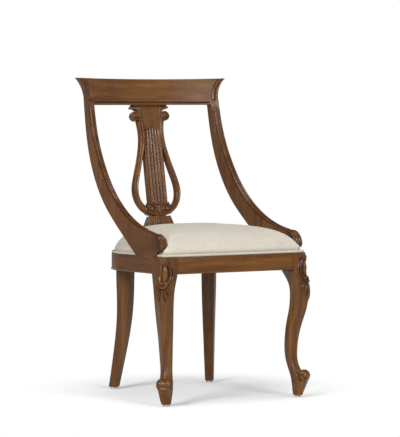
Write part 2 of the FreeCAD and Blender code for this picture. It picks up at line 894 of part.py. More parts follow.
def screw_form(start, axis, length, grow):
    cone = Part.makeCone(screw_head_radius + grow, screw_radius + grow,
                         screw_head_height, start, axis)
    shank = Part.makeCylinder(screw_radius + grow, length + 5 * grow, start, axis)
    sink = Part.makeCylinder(screw_head_radius + grow, far / 20, start - axis * (far / 20), axis)
    form = cone.fuse(shank)
    return form.fuse(sink).removeSplitter() if grow else form.removeSplitter()


def record_fastener(group, body, hole, nodes):
    parts.setdefault(group, []).append(body)
    for node in nodes:
        holes.setdefault(node, []).append(hole)


def side_name(side):
    return "right" if side > 0 else "left"


def fasten_rails():
    rail_middle = half_frame - rail_thickness / 2
    front_middle = front_rail_face + rail_thickness / 2
    for side in (1, -1):
        leg = "front_leg_" + side_name(side)
        rail = "seat_rail_" + side_name(side)
        for drop in (0.3 * rail_height, 0.7 * rail_height):
            dowel("rail_dowels", (side * block_inner_x, front_middle, seat_height - drop),
                  (1, 0, 0), (leg, "seat_rail_front"))
            z = rail_top(block_back_y) - drop
            dowel("rail_dowels", (side * rail_middle, block_back_y, z), (0, 1, 0), (leg, rail))
            z = rail_top(round_back_start) - drop
            dowel("rail_dowels", (side * rail_middle, round_back_start, z), (0, 1, 0),
                  (rail, "seat_rail_back"))


def fasten_posts():
    arm_length = arm_foot_back - arm_foot_front
    for side in (1, -1):
        post = "post_" + side_name(side)
        x = side * (half_frame - post_thickness / 2)
        for share in (0.45, 0.8):
            y = arm_foot_front + share * arm_length + post_skew / 2
            dowel("arm_dowels", (x, y, rail_top(y)), (0, 0, 1),
                  (post, "seat_rail_" + side_name(side)))
        z = crest_bottom_height + mitre_rise / 2
        x = side * (post_outer_x(z) + post_inner_x(z)) / 2
        middle = post_top_front + post_top_depth / 2 + post_skew / 2 + 0.2 * mitre_rise / 2
        for offset in (-crest_dowel_spacing / 2, crest_dowel_spacing / 2):
            dowel("crest_dowels", (x, middle + offset, z), (0, 0.2, 1), (post, "crest_rail"),
                  small_dowel_radius)


def fasten_splat():
    def place(x, along):
        lean = math.radians(splat_lean())
        return (x, splat_foot_y + along * math.sin(lean), splat_foot_z() + along * math.cos(lean))

    lean = math.radians(splat_lean())
    up = (0, math.sin(lean), math.cos(lean))
    group = "lyre_dowels"
    rail_y = splat_foot_y + shoe_setback
    for side in (1, -1):
        arm = "lyre_arm_" + side_name(side)
        foot = (side * 0.6 * shoe_half_width, rail_y, rail_top(rail_y))
        dowel(group, foot, (0, 0, 1), ("lyre_shoe", "seat_rail_back"))
        x = side * 0.6 * shoe_neck_half_width
        dowel(group, place(x, scroll_block_foot), up, ("lyre_shoe", "lyre_scroll_block"))
        x = side * 0.5 * column_half_width
        dowel(group, place(x, column_foot()), up, ("lyre_scroll_block", "lyre_column"))
        x = side * 0.45 * capital_neck_half_width
        dowel(group, place(x, splat_length()), up, ("lyre_column", "crest_rail"))
        at = lyre_point(0.0, 0.837)[2]
        dowel(group, place(side * column_waist, at), (1, 0, 0), ("lyre_column", arm),
              lyre_pin_radius, lyre_pin_length)
        at = lyre_point(0.0, 0.06)[2]
        dowel(group, place(side * scroll_block_half_width, at), (1, 0, 0),
              ("lyre_scroll_block", arm), lyre_pin_radius, lyre_pin_length)


def fasten_blocks():
    block_middle = block_top() - block_height / 2
    cleat_middle = cleat_top() - block_height / 2
    for side in (1, -1):
        name = side_name(side)
        block = "corner_block_" + name
        cleat = "seat_cleat_" + name
        rail = "seat_rail_" + name
        slope = corner_block_slope()
        depth = 0.3 * corner_block_reach
        x = block_inner_x - corner_block_reach + depth
        y = front_rail_inner + depth * slope
        length = y - block_screw_sink - front_rail_inner + rail_thickness / 2
        screw("block_screws", (side * x, y - block_screw_sink, block_middle), (0, -1, 0), length,
              (block, "seat_rail_front"))
        y = block_back_y + 0.6 * corner_block_reach
        x = inner_half_frame - 0.4 * corner_block_reach / slope
        x += block_screw_sink
        length = inner_half_frame - x + rail_thickness / 2
        screw("block_screws", (side * x, y, block_middle), (side, 0, 0), length,
              (block, rail))
        y = round_back_start - cleat_setback - cleat_length / 2
        x = inner_half_frame - cleat_width
        for offset in (-0.3 * cleat_length, 0.3 * cleat_length):
            screw("block_screws", (side * x, y + offset, cleat_middle), (side, 0, 0),
                  cleat_width + rail_thickness / 2, (cleat, rail))
        seat_screw_length = block_height + block_drop + 0.75 * board_thickness
        x = inner_half_frame - cleat_width / 2
        screw("seat_screws", (side * x, y, cleat_top() - block_height), (0, 0, 1),
              seat_screw_length, (cleat, "dust_cover", "seat_board"))
        x = block_inner_x - seat_screw_inset
        y = block_back_y + seat_screw_inset
        screw("seat_screws", (side * x, y, block_top() - block_height), (0, 0, 1),
              seat_screw_length + 1.0, (block, "dust_cover", "seat_board"))


def corner_block_slope():
    """Rise over run of the corner block's long face, seen from above."""
    run = inner_half_frame - block_inner_x + corner_block_reach
    return (block_back_y + corner_block_reach - front_rail_inner) / run


def fasten_rear_legs():
    turn = math.radians(rear_leg_turn)
    x, y = rear_leg_top_centre()
    inner_reach = rear_leg_depth / 2
    for side in (1, -1):
        head_x = side * (x - inner_reach * math.sin(turn))
        head_y = y - inner_reach * math.cos(turn)
        direction = (side * math.sin(turn), math.cos(turn), 0)
        length = rear_leg_depth - rail_thickness + rear_leg_inset + 0.6 * rail_thickness
        for drop in (0.35 * rail_height, 0.75 * rail_height):
            z = rail_top(head_y) - drop
            screw("leg_screws", (head_x, head_y, z), direction, length,
                  ("rear_leg_" + side_name(side), "seat_rail_back"))


def fit_glides():
    for leg, (x, y) in (("front", front_foot_centre()), ("rear", rear_foot_centre())):
        disc = Part.makeCylinder(glide_radius, glide_height, Vector(x, y, 0))
        rim = [edge for edge in disc.Edges if edge.Closed and edge.BoundBox.ZMax < 0.1]
        disc = disc.makeFillet(glide_height / 4, rim)
        both_sides("glide_" + leg, disc)
        for side in (1, -1):
            start = Vector(side * x, y, glide_height / 2)
            length = glide_nail_length + glide_height / 2
            nail = Part.makeCylinder(glide_nail_radius, length, start)
            name = side_name(side)
            nodes = ("glide_" + leg + "_" + name, leg + "_leg_" + name)
            record_fastener("glide_nails", nail, nail, nodes)


def centre_front_to_back():
    """Moves everything so that the chair's front and back are equally far from Y 0."""
    reach = [parts[name].optimalBoundingBox() for name in ("front_leg_left", "crest_rail")]
    shift = Vector(0, -(reach[0].YMin + reach[1].YMax) / 2, 0)
    for name in parts:
        parts[name].translate(shift)
    print("moved by", round(shift.y, 3), "to centre it front to back")


def main():
    make_rails()
    both_sides("front_leg", front_leg())
    both_sides("rear_leg", rear_leg())
    both_sides("post", sweeping_post())
    parts["crest_rail"] = crest_rail()
    parts["lyre_scroll_block"] = lyre_scroll_block()
    parts["lyre_shoe"] = lyre_shoe()
    both_sides("lyre_arm", lyre_arm())
    parts["lyre_column"] = lyre_column()
    both_sides("corner_block", front_corner_block())
    both_sides("seat_cleat", seat_cleat())
    make_seat()
    fit_glides()
    fasten_rails()
    fasten_posts()
    fasten_splat()
    fasten_blocks()
    fasten_rear_legs()
    for name, cutters in holes.items():
        parts[name] = parts[name].cut(cutters)
    for name, shape in parts.items():
        if isinstance(shape, list):
            parts[name] = grouped(shape)
    centre_front_to_back()
    os.makedirs("parts", exist_ok=True)
    for name, shape in sorted(parts.items()):
        solids = shape.Solids
        print(name, "solids", len(solids), "valid", shape.isValid(),
              "cm3", round(shape.Volume / 1000, 1))
        whole = solids[0] if len(solids) == 1 else grouped(solids)
        whole.exportStep("parts/" + name + ".step")


main()
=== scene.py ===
# %% [markdown]
# # A lyre back chair, dressed for the camera
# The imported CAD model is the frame: every piece below sits where the CAD says.
# A chair maker writes sizes in millimetres, so the helpers take millimetres on the
# maker's own datum, and one function turns them into metres in the frame.

# %% Load the frame
import math
from contextlib import contextmanager
import bmesh
import bpy
import numpy as np
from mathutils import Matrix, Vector
from mathutils.geometry import delaunay_2d_cdt


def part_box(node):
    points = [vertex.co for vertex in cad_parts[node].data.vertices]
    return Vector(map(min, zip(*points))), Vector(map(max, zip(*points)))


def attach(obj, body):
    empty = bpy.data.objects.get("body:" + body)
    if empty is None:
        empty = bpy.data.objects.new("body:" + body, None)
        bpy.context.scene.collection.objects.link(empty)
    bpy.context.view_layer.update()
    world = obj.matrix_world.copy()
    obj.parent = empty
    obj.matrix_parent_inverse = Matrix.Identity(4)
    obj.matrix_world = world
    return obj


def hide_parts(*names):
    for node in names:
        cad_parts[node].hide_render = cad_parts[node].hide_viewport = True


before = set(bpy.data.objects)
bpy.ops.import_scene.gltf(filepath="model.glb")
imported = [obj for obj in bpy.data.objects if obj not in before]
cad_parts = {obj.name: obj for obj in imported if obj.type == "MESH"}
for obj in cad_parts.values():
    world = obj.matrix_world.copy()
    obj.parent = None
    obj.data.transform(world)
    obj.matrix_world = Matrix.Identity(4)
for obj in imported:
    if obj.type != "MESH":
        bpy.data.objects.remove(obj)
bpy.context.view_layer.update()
scene = bpy.context.scene

# %% [markdown]
# The chair's driving sizes, the same as in the CAD source. The datum is found from the
# frame itself: the front glides' middle lies 212.2 mm in front of the maker's zero.

# %% Sizes of the real chair, in millimetres
crest_bottom, crest_height = 857.5, 82.5
crest_top = crest_bottom + crest_height
seat_height, rail_height, glide_height = 427.0, 49.0, 7.0
half_frame, front_face, round_start, round_radius = 236.0, -230.0, 50.0, 200.0
seat_pitch = math.radians(1.1)
leg_block, block_proud = (45.5, 72.5), 2.5
post_thickness, post_lean, post_skew = 25.0, math.radians(1.2), 6.0
post_top_front, post_top_depth = 271.6, 27.0
front_foot = (half_frame - 16.6, front_face + 17.8)
glide_low, glide_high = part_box("glide_front_left")
datum_y = (glide_low.y + glide_high.y) * 500 - front_foot[1]
print("datum shift:", round(datum_y, 3), "mm")


def to_frame(points):
    """Millimetres on the maker's datum to metres in the frame."""
    points = np.asarray(points, float).reshape(-1, 3) + (0.0, datum_y, 0.0)
    return points * 0.001


def in_scene(name, data):
    """A new object at the origin, linked to the scene."""
    thing = bpy.data.objects.new(name, data)
    scene.collection.objects.link(thing)
    return thing


def rail_top(y):
    """The seat plane falls towards the back by the seat's pitch."""
    return seat_height - (y - front_face) * math.tan(seat_pitch)

# %% [markdown]
# ## Finishes
# Colours are written as sRGB hex, as a finisher would pick them off a sample, and one
# function turns them into the linear values that the shaders work in. One small function
# adds a node with its settings and links.

# %% Colour and node helpers
def colour(hex_code):
    """An sRGB hex colour as linear RGBA."""
    parts = [int(hex_code[i:i + 2], 16) / 255 for i in (1, 3, 5)]
    linear = [c / 12.92 if c <= 0.04045 else ((c + 0.055) / 1.055) ** 2.4 for c in parts]
    return (*linear, 1.0)


def fill(tree, node, **inputs):
    """Gives a node its inputs, values or sockets to link, by name or, as _0, by number."""
    for key, value in inputs.items():
        socket = node.inputs[int(key[1:])] if key[0] == "_" else node.inputs[key.replace("_", " ")]
        if isinstance(value, bpy.types.NodeSocket):
            tree.links.new(value, socket)
        else:
            socket.default_value = value


def add_node(tree, kind, settings=None, **inputs):
    """Adds a node with its settings and inputs."""
    node = tree.nodes.new(kind)
    for key, value in (settings or {}).items():
        setattr(node, key, value)
    fill(tree, node, **inputs)
    return node


def emptied_tree(owner):
    """The empty node tree of a new material or world."""
    owner.use_nodes = True
    owner.node_tree.nodes.clear()
    return owner.node_tree


def new_material(name):
    """An empty material and its tree, with a Principled shader wired to the output."""
    material = bpy.data.materials.new(name)
    tree = emptied_tree(material)
    shader = add_node(tree, "ShaderNodeBsdfPrincipled")
    add_node(tree, "ShaderNodeOutputMaterial", Surface=shader.outputs[0])
    return material, tree, shader


def stretched_noise(tree, sizes, detail=2.0):
    """Noise on Object coordinates; sizes are its grain's along each axis, in millimetres."""
    place = add_node(tree, "ShaderNodeTexCoord")
    sized = add_node(tree, "ShaderNodeMapping", _0=place.outputs["Object"],
                     Scale=[1000 / size for size in sizes])
    noise = add_node(tree, "ShaderNodeTexNoise", _0=sized.outputs[0], Scale=1.0, Detail=detail)
    return noise.outputs[0]


def ramp(tree, factor, stops):
    """A colour ramp from (position, hex or grey) stops."""
    node = add_node(tree, "ShaderNodeValToRGB", Fac=factor)
    while len(node.color_ramp.elements) < len(stops):
        node.color_ramp.elements.new(0.5)
    for element, (position, value) in zip(node.color_ramp.elements, stops):
        element.position = position
        element.color = colour(value) if isinstance(value, str) else (value, value, value, 1.0)
    return node.outputs[0]


def mixed(tree, factor, first, second, blend="MIX"):
    """Mixes two colours; the multiply blend darkens the first by the second."""
    node = add_node(tree, "ShaderNodeMix", {"data_type": "RGBA", "blend_type": blend},
                    _0=factor, _6=first, _7=second)
    return node.outputs[2]


def relief(tree, height, strength, depth):
    """Fine relief from a pattern, at most depth metres deep, for a shader's normal."""
    return add_node(tree, "ShaderNodeBump", Strength=strength, Distance=depth,
                    Height=height).outputs[0]

# %% [markdown]
# ** Stained mahogany.** The real frame is solid mahogany, carved and planed, stained
# red-brown, rubbed with a dark glaze that stays in the hollows of the carving, and closed
# with a satin lacquer. Three things tell the eye so: broad ribbons of lighter and darker
# wood along the grain, short dark pores, and a soft sheen over all of it. The ribbons are
# about 17 mm wide and pores under 1 mm; pores that fine would vanish in the render, so they
# are drawn 2.4 mm wide. The grain must run along each piece, so the finish is made once for
# each direction of the grain. The carving helpers leave a "hollow" value on their meshes,
# which the glaze reads; a mesh without it reads zero. Painted shade: in creases where two
# faces meet, and close to other parts, an Ambient Occlusion node darkens the wood.

# %% Stained mahogany, one finish for each direction of the grain
def stained_mahogany(name, along):
    """along is 0, 1 or 2: the axis, X, Y or Z, that the grain runs along."""
    material, tree, shader = new_material(name)

    def grain(across, lengthways, **more):
        sizes = [across] * 3
        sizes[along] = lengthways
        return stretched_noise(tree, sizes, **more)

    ribbons, clouds = grain(17.24, 285.7, detail=3.0), grain(111.1, 500.0, detail=1.0)
    wood = ramp(tree, ribbons, ((0.26, "#55310F"), (0.46, "#653C12"), (0.6, "#734816"),
                                (0.78, "#85561D")))
    wood = mixed(tree, 1.0, wood, ramp(tree, clouds, ((0.3, 0.86), (0.7, 1.1))), "MULTIPLY")
    pores = ramp(tree, grain(2.381, 38.46, detail=1.0), ((0.36, 0.7), (0.5, 1.0)))
    wood = mixed(tree, 0.8, wood, pores, "MULTIPLY")
    hollow = add_node(tree, "ShaderNodeAttribute", {"attribute_name": "hollow"})
    glaze = mixed(tree, hollow.outputs["Fac"], (1, 1, 1, 1), colour("#7A583F"), "MULTIPLY")
    # Painted shade: the Ambient Occlusion node darkens the wood in creases and close to other
    # parts.
    crease = add_node(tree, "ShaderNodeAmbientOcclusion", {"samples": 8}, Distance=0.006)
    painted_crease_shade = ramp(tree, crease.outputs["AO"], ((0.42, "#452B18"), (0.92, "#FFFFFF")))
    for dark in (glaze, painted_crease_shade):
        wood = mixed(tree, 1.0, wood, dark, "MULTIPLY")
    rubbed = ramp(tree, grain(33.33, 83.33), ((0.3, 0.26), (0.7, 0.36)))
    fill(tree, shader, Base_Color=wood, Roughness=rubbed, Normal=relief(tree, pores, 0.16, 0.0005),
         IOR=1.5, Specular_IOR_Level=0.3, Coat_Weight=0.25, Coat_Roughness=0.18)
    return material


mahogany_upright = stained_mahogany("stained_mahogany_grain_upright", 2)
mahogany_across = stained_mahogany("stained_mahogany_grain_across", 0)
mahogany_lengthways = stained_mahogany("stained_mahogany_grain_lengthways", 1)
print("mahogany: 3 finishes")

# %% [markdown]
# ## Making meshes
# Three ways of making wood cover this chair. A **bar** is a grid of points wrapped round a
# path, closed at both ends: legs, beads and welts. A **plank** is a flat outline whose
# front is carved by a height function: the lyre and the crest. A **swept edge** is a plank
# whose narrow edge carries a moulding. All three end in make_piece, which merges double
# points, turns the faces outwards, keeps sharp edges sharp and, where asked, eases them a
# little, since no cabinet maker leaves a raw arris.

# %% make_piece, eased edges and the hollow value
side_names = {1: "right", -1: "left"}


def eased(piece, width):
    """Rounds the sharp edges with a small bevel and makes the result the piece's mesh."""
    bevel = piece.modifiers.new("eased_edges", "BEVEL")
    bevel.width, bevel.segments, bevel.limit_method = width * 0.001, 2, "ANGLE"
    bevel.angle_limit = math.radians(50)
    bevel.harden_normals = False
    apply_modifiers(piece)


def apply_modifiers(piece):
    """Replaces the piece's mesh with what its modifiers make of it."""
    depsgraph = bpy.context.evaluated_depsgraph_get()
    made = bpy.data.meshes.new_from_object(piece.evaluated_get(depsgraph))
    piece.modifiers.clear()
    piece.data = made
    return piece


def smooth_shaded(mesh, sharp_from=42.0):
    mesh.shade_smooth()
    mesh.set_sharp_from_angle(angle=math.radians(sharp_from))


def mesh_of(name, points, faces, edges=()):
    """A new mesh from points in millimetres."""
    mesh = bpy.data.meshes.new(name)
    mesh.from_pydata([tuple(p) for p in to_frame(points)], edges, faces)
    return mesh


@contextmanager
def edited(mesh):
    """Opens a mesh for editing and writes it back afterwards."""
    work = bmesh.new()
    work.from_mesh(mesh)
    yield work
    work.to_mesh(mesh)
    work.free()


def ride_as(piece, sharp_from=42.0):
    """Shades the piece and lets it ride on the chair."""
    smooth_shaded(piece.data, sharp_from)
    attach(piece, "root")
    print(f"{piece.name}: {len(piece.data.polygons)} faces")
    return piece


def make_piece(name, points, faces, replaced, hollow=None, ease=0.0,
               material=mahogany_upright):
    """A finished mesh piece from millimetre points, in place of the CAD's replaced nodes."""
    mesh = mesh_of(name, points, faces)
    if hollow is not None:
        attribute = mesh.attributes.new("hollow", "FLOAT", "POINT")
        attribute.data.foreach_set("value", np.asarray(hollow, np.float32))
    with edited(mesh) as work:
        bmesh.ops.remove_doubles(work, verts=work.verts, dist=1e-6)
        bmesh.ops.recalc_face_normals(work, faces=work.faces)
    piece = in_scene(name, mesh)
    mesh.materials.append(material)
    if ease:
        eased(piece, ease)
    ride_as(piece)
    if replaced:
        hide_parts(*replaced)
    return piece


def grid_faces(rows, columns, closed=True):
    """Faces of a grid of points, row after row; closed joins the last column to the first."""
    wrap = columns if closed else columns - 1
    faces = []
    for i in range(rows - 1):
        for j in range(wrap):
            k = (j + 1) % columns
            faces.append((i * columns + j, i * columns + k,
                          (i + 1) * columns + k, (i + 1) * columns + j))
    return faces


def bar(rings):
    """Points and faces of a closed bar from an array of rings, with flat caps."""
    rings = np.asarray(rings, float)
    rows, columns = rings.shape[:2]
    faces = grid_faces(rows, columns)
    faces.append(tuple(range(columns))[::-1])
    faces.append(tuple(range((rows - 1) * columns, rows * columns)))
    return rings.reshape(-1, 3), faces

# %% [markdown]
# ### Curves by their points
# The CAD draws its curves as interpolating splines. A natural cubic through the same
# points gives the same line, so the dressed pieces lie on the CAD's to a fraction of a
# millimetre.

# %% Curves
def natural_cubic(knots, values, at):
    """Values of a natural cubic spline through (knots, values), at the given places."""
    knots, values = np.asarray(knots, float), np.asarray(values, float)
    gaps, size = np.diff(knots), len(knots)
    matrix, right = np.eye(size), np.zeros_like(values)
    slopes = np.diff(values, axis=0) / gaps[:, None]
    for i in range(1, size - 1):
        matrix[i, i - 1:i + 2] = gaps[i - 1], 2 * (gaps[i - 1] + gaps[i]), gaps[i]
        right[i] = 6 * (slopes[i] - slopes[i - 1])
    bend = np.linalg.solve(matrix, right)
    i = np.clip(np.searchsorted(knots, at, "right") - 1, 0, size - 2)
    gap = gaps[i][:, None]
    past, left = (at - knots[i])[:, None], (knots[i + 1] - at)[:, None]
    return (bend[i] * left ** 3 + bend[i + 1] * past ** 3) / (6 * gap) \
        + (values[i + 1] / gap - bend[i + 1] * gap / 6) * past \
        + (values[i] / gap - bend[i] * gap / 6) * left


def through(points, count):
    """count evenly spread points on a natural cubic spline through the given points."""
    points = np.asarray(points, float)
    knots = np.concatenate([[0], np.cumsum(np.linalg.norm(np.diff(points, axis=0), axis=1))])
    fine = np.linspace(0, knots[-1], 12 * len(points) + 60)
    return resampled(natural_cubic(knots, points, fine), count)


def resampled(points, count):
    """The same polyline with count evenly spread points."""
    lengths = np.concatenate([[0], np.cumsum(np.linalg.norm(np.diff(points, axis=0), axis=1))])
    at = np.linspace(0, lengths[-1], count)
    return np.stack([np.interp(at, lengths, points[:, k]) for k in range(points.shape[1])], 1)


def arc_through(start, middle, end, count):
    """An arc through three points of a plane."""
    (ax, ay), (bx, by), (cx, cy) = start, middle, end
    d = 2 * (ax * (by - cy) + bx * (cy - ay) + cx * (ay - by))
    a2, b2, c2 = ax * ax + ay * ay, bx * bx + by * by, cx * cx + cy * cy
    centre = np.array([(a2 * (by - cy) + b2 * (cy - ay) + c2 * (ay - by)) / d,
                       (a2 * (cx - bx) + b2 * (ax - cx) + c2 * (bx - ax)) / d])
    angles = [math.atan2(p[1] - centre[1], p[0] - centre[0]) for p in (start, middle, end)]
    turn = (angles[2] - angles[0]) % (2 * math.pi)
    if (angles[1] - angles[0]) % (2 * math.pi) > turn:
        turn -= 2 * math.pi
    sweep = angles[0] + np.linspace(0, turn, count)
    radius = math.hypot(ax - centre[0], ay - centre[1])
    return centre + radius * np.stack([np.cos(sweep), np.sin(sweep)], 1)


def joined(*runs):
    """Runs of points as one polyline, without the doubles where they meet."""
    points = np.concatenate([np.asarray(run, float) for run in runs])
    keep = np.concatenate([[True], np.linalg.norm(np.diff(points, axis=0), axis=1) > 1e-6])
    return points[keep]


def normals_of(loop):
    """Unit normals of a closed polyline in a plane, to the left of its direction."""
    along = np.roll(loop, -1, 0) - np.roll(loop, 1, 0)
    along /= np.linalg.norm(along, axis=1)[:, None]
    return np.stack([-along[:, 1], along[:, 0]], 1)


def inward_normals(loop):
    """Unit normals that point into the polyline, whichever way it runs."""
    area = np.sum(loop[:, 0] * np.roll(loop[:, 1], -1) - np.roll(loop[:, 0], -1) * loop[:, 1])
    return normals_of(loop) * (1 if area > 0 else -1)


def crossing(start, end, count):
    """count evenly spread points on a straight line."""
    return resampled(np.array([start, end]), count)

# %% [markdown]
# ### Carving by height
# A carver cuts ridges, domes, leaves and scrolls into a flat board. Each is a small
# function of the place on the board that gives a height in millimetres, and the carving is
# the highest of them at each point. That is quicker to read and to change than moving
# points by hand, and a closed mesh comes out of it every time.

# %% Ridges, domes, leaves and scrolls
def held(values):
    """Values kept between 0 and 1."""
    return np.clip(values, 0, 1)


def rounded(offset, half):
    """A half circle across: 1 in its middle and 0 from half outwards."""
    return np.sqrt(held(1 - (offset / half) ** 2))


def groove(offset, width):
    """A soft-edged groove: 1 in its middle, fading out over its width to both sides."""
    return np.exp(-(offset / width) ** 2)


def path_distance(places, path):
    """For each place, the distance to a polyline and the share of its length there."""
    path = np.asarray(path, float)
    start, step = path[:-1], np.diff(path, axis=0)
    length = np.linalg.norm(step, axis=1)
    before = np.concatenate([[0], np.cumsum(length)])
    best = np.full(len(places), 1e9)
    share = np.zeros(len(places))
    for k in range(len(step)):
        t = np.clip(((places - start[k]) @ step[k]) / length[k] ** 2, 0, 1)
        gap = np.linalg.norm(places - start[k] - t[:, None] * step[k], axis=1)
        nearer = gap < best
        best[nearer] = gap[nearer]
        share[nearer] = (before[k] + t[nearer] * length[k]) / before[-1]
    return best, share


def ridge(places, path, width, height, tip=0.0, root=0.0):
    """A round ridge along a path; tip and root are the shares of its length that taper."""
    gap, share = path_distance(places, path)
    grown = np.ones(len(places))
    if tip:
        grown = np.minimum(grown, np.sqrt(held((1 - share) / tip)))
    if root:
        grown = np.minimum(grown, np.sqrt(held(share / root)))
    half = np.maximum(width / 2 * grown, 1e-3)
    return height * grown * rounded(gap, half)


def dome(places, centre, half_size, height, power=0.5):
    """An oval dome, such as a bead or a cabochon."""
    gap = np.linalg.norm((places - centre) / half_size, axis=1)
    return height * held(1 - gap ** 2) ** power


def leaf(places, root, tip, width, height, bow=0.0):
    """A husk or leaf from root to tip: almond shaped, domed, with a cut along its vein."""
    root, tip = np.asarray(root, float), np.asarray(tip, float)
    along = tip - root
    side = np.array([-along[1], along[0]]) / np.linalg.norm(along)
    t = np.linspace(0, 1, 9)
    path = root + t[:, None] * along + (bow * np.sin(t * math.pi))[:, None] * side
    gap, share = path_distance(places, path)
    half = width / 2 * np.clip(np.sin(np.clip(share, 0.02, 0.98) * math.pi) ** 0.7, 0.05, 1)
    body = held(1 - (gap / half) ** 2) ** 0.6
    vein = 1 - 0.45 * groove(gap, 0.16 * width)
    return height * body * vein


def spiral(centre, outer, inner, turns, start, hand=1, count=40):
    """Points of a scroll's line, winding inwards from start, an angle in degrees."""
    t = np.linspace(0, 1, count)
    radius = inner + (outer - inner) * (1 - t) ** 0.8
    angle = math.radians(start) + hand * turns * 2 * math.pi * t
    return np.stack([centre[0] + radius * np.cos(angle), centre[1] + radius * np.sin(angle)], 1)


# %% Planks with a carved front
def inside(places, loop):
    """Which places lie inside a closed polyline."""
    x, y = places[:, 0], places[:, 1]
    found = np.zeros(len(places), bool)
    for (ax, ay), (bx, by) in zip(loop, np.roll(loop, -1, 0)):
        if ay == by:
            continue
        crosses = (ay > y) != (by > y)
        found ^= crosses & (x < (bx - ax) * (y - ay) / (by - ay) + ax)
    return found


def triangulated(loop, step):
    """Points and triangles that fill a polyline evenly, and where its own points went."""
    low, high = loop.min(0), loop.max(0)
    rows = np.arange(low[1] + step / 2, high[1], step * math.sqrt(0.75))
    spots = np.array([(x + (step / 2 if i % 2 else 0), y) for i, y in enumerate(rows)
                      for x in np.arange(low[0], high[0], step)]).reshape(-1, 2)
    spots = spots[inside(spots, loop)]
    if len(spots):
        spots = spots[path_distance(spots, np.vstack([loop, loop[:1]]))[0] > 0.45 * step]
    rim = len(loop)
    flat = [Vector(p) for p in np.vstack([loop, spots])]
    points, _, triangles, origins, _, _ = delaunay_2d_cdt(flat, [], [list(range(rim))], 1, 1e-7)
    where = {old: new for new, group in enumerate(origins) for old in group if old < rim}
    return np.array([tuple(p) for p in points]), [tuple(f) for f in triangles], where


def plank(loop, step, carve, place, thickness, back_step=12.0):
    """Points, faces and heights of a plank. loop is its outline; carve gives heights in
    front of its face; place turns (across, proud, up) into space, where proud is 0 on the
    face and minus the thickness on the back."""
    loop = np.asarray(loop, float)
    rim = len(loop)
    front, front_faces, front_rim = triangulated(loop, step)
    back, back_faces, back_rim = triangulated(loop, back_step)
    heights = carve(front)
    depths = np.full(len(back), -thickness)
    points = np.vstack([place(front[:, 0], heights, front[:, 1]),
                        place(back[:, 0], depths, back[:, 1])])
    start = len(front)
    faces = front_faces + [tuple(start + k for k in face[::-1]) for face in back_faces]
    for i in range(rim):
        j = (i + 1) % rim
        faces.append((front_rim[i], start + back_rim[i], start + back_rim[j], front_rim[j]))
    return points, faces, np.concatenate([heights, np.zeros(len(back))])

# %% [markdown]
# ## The crest rail
# The crest is a board bent round the sitter's shoulders: hollow in front, leaning back, with
# ears that flare out over the posts. It could be a bent box, but its front carries a
# scratched bead along the lower edge and the posts' bead runs on into the ears, so it is
# made as a plank with a carved front, laid on the curve.

# %% The crest rail
crest_radius, crest_lean, crest_dip, ear_reach, mitre_rise = 866.0, 20.0, 3.5, 28.7, 18.5
crest_thick_low, crest_thick_high, crest_plank = 26.0, 21.0, 30.0


def post_outer_x(z):
    return half_frame - (z - seat_height) * math.tan(post_lean)


def post_inner_x(z):
    return post_outer_x(z) - post_thickness / math.cos(post_lean)


def crest_front_y():
    x = post_outer_x(crest_bottom)
    return post_top_front + crest_radius - math.sqrt(crest_radius ** 2 - x ** 2)


def on_crest(across, proud, up):
    """Places (across, in front of the face, up) on the crest's bent and leaning board. The
    plank's nominal back becomes the real one, which comes nearer to the face as it rises."""
    share = (up - crest_bottom) / crest_height
    thickness = crest_thick_low + share * (crest_thick_high - crest_thick_low)
    inward = np.where(proud <= -crest_plank / 2, thickness, -proud)
    centre = crest_front_y() + share * crest_lean - crest_radius
    radius = crest_radius + inward
    return np.stack([across, centre + np.sqrt(radius ** 2 - across ** 2), up], 1)


def crest_loop():
    """The front outline: straight below, mitred at the posts, flared ears, dipped top."""
    mitre_z = crest_bottom + mitre_rise
    inner, outer = post_inner_x(crest_bottom), post_outer_x(mitre_z)
    tip, climb = outer + ear_reach, crest_top - mitre_z
    radius = (climb ** 2 + ear_reach ** 2) / (2 * ear_reach)
    bend = outer + radius - math.sqrt(radius ** 2 - (climb / 2) ** 2)
    below = crossing((-inner, crest_bottom), (inner, crest_bottom), 120)
    ear = arc_through((outer, mitre_z), (bend, mitre_z + climb / 2), (tip, crest_top), 24)
    top = arc_through((tip, crest_top), (0, crest_top - crest_dip), (-tip, crest_top), 130)
    mitre = crossing((inner, crest_bottom), (outer, mitre_z), 9)
    mirrored = [run[::-1] * (-1, 1) for run in (ear, mitre)]
    return joined(below, mitre, ear, top, *mirrored)[:-1], ear


def crest_carving(places):
    """A bead along the lower edge with a quirk above it, and the ears' running beads."""
    x, z = np.abs(places[:, 0]), places[:, 1]
    up, bead_half, bead_height, quirk_up = z - crest_bottom, 3.4, 1.6, 8.2
    below = bead_height * rounded(up - bead_half, bead_half) - 2.2 * groove(up - quirk_up, 1.5)
    between = x < post_inner_x(crest_bottom) - 1.0
    ear_middle = crest_ear_line - (post_thickness / 2 + 1.5, 0)
    off = path_distance(np.stack([x, z], 1), ear_middle)[0]
    on_ear = (x > post_inner_x(crest_bottom) - 2.0) & (z < crest_top - 1.0)
    ear = 1.5 * rounded(off, 3.0) - 1.5 * groove(off - 4.2, 1.0)
    return np.where(on_ear, ear, np.where(between, below, 0.0))


crest_outline, crest_ear_line = crest_loop()
points, faces, heights = plank(crest_outline, 1.7, crest_carving, on_crest, crest_plank,
                               back_step=14.0)
make_piece("crest_rail_carved", points, faces, ["crest_rail"], held(-heights / 1.6), ease=1.2,
           material=mahogany_across)

# %% [markdown]
# ## The sweeping posts
# Each post and arm is one plank, sawn to a sweeping outline. Its narrow front edge carries
# a moulding: a bead down the middle between two quirks, which turns into three reeds on
# the arm's rounded nose. The outline is the same as the CAD's; the moulding is pressed into
# the edge along the outline's own normals, so it follows every bend.

# %% The posts' side outline
arm_foot_back, arm_foot_front, arm_nose_front, arm_nose_rise = -53.0, -187.0, -213.0, 63.0
post_height = crest_bottom - seat_height


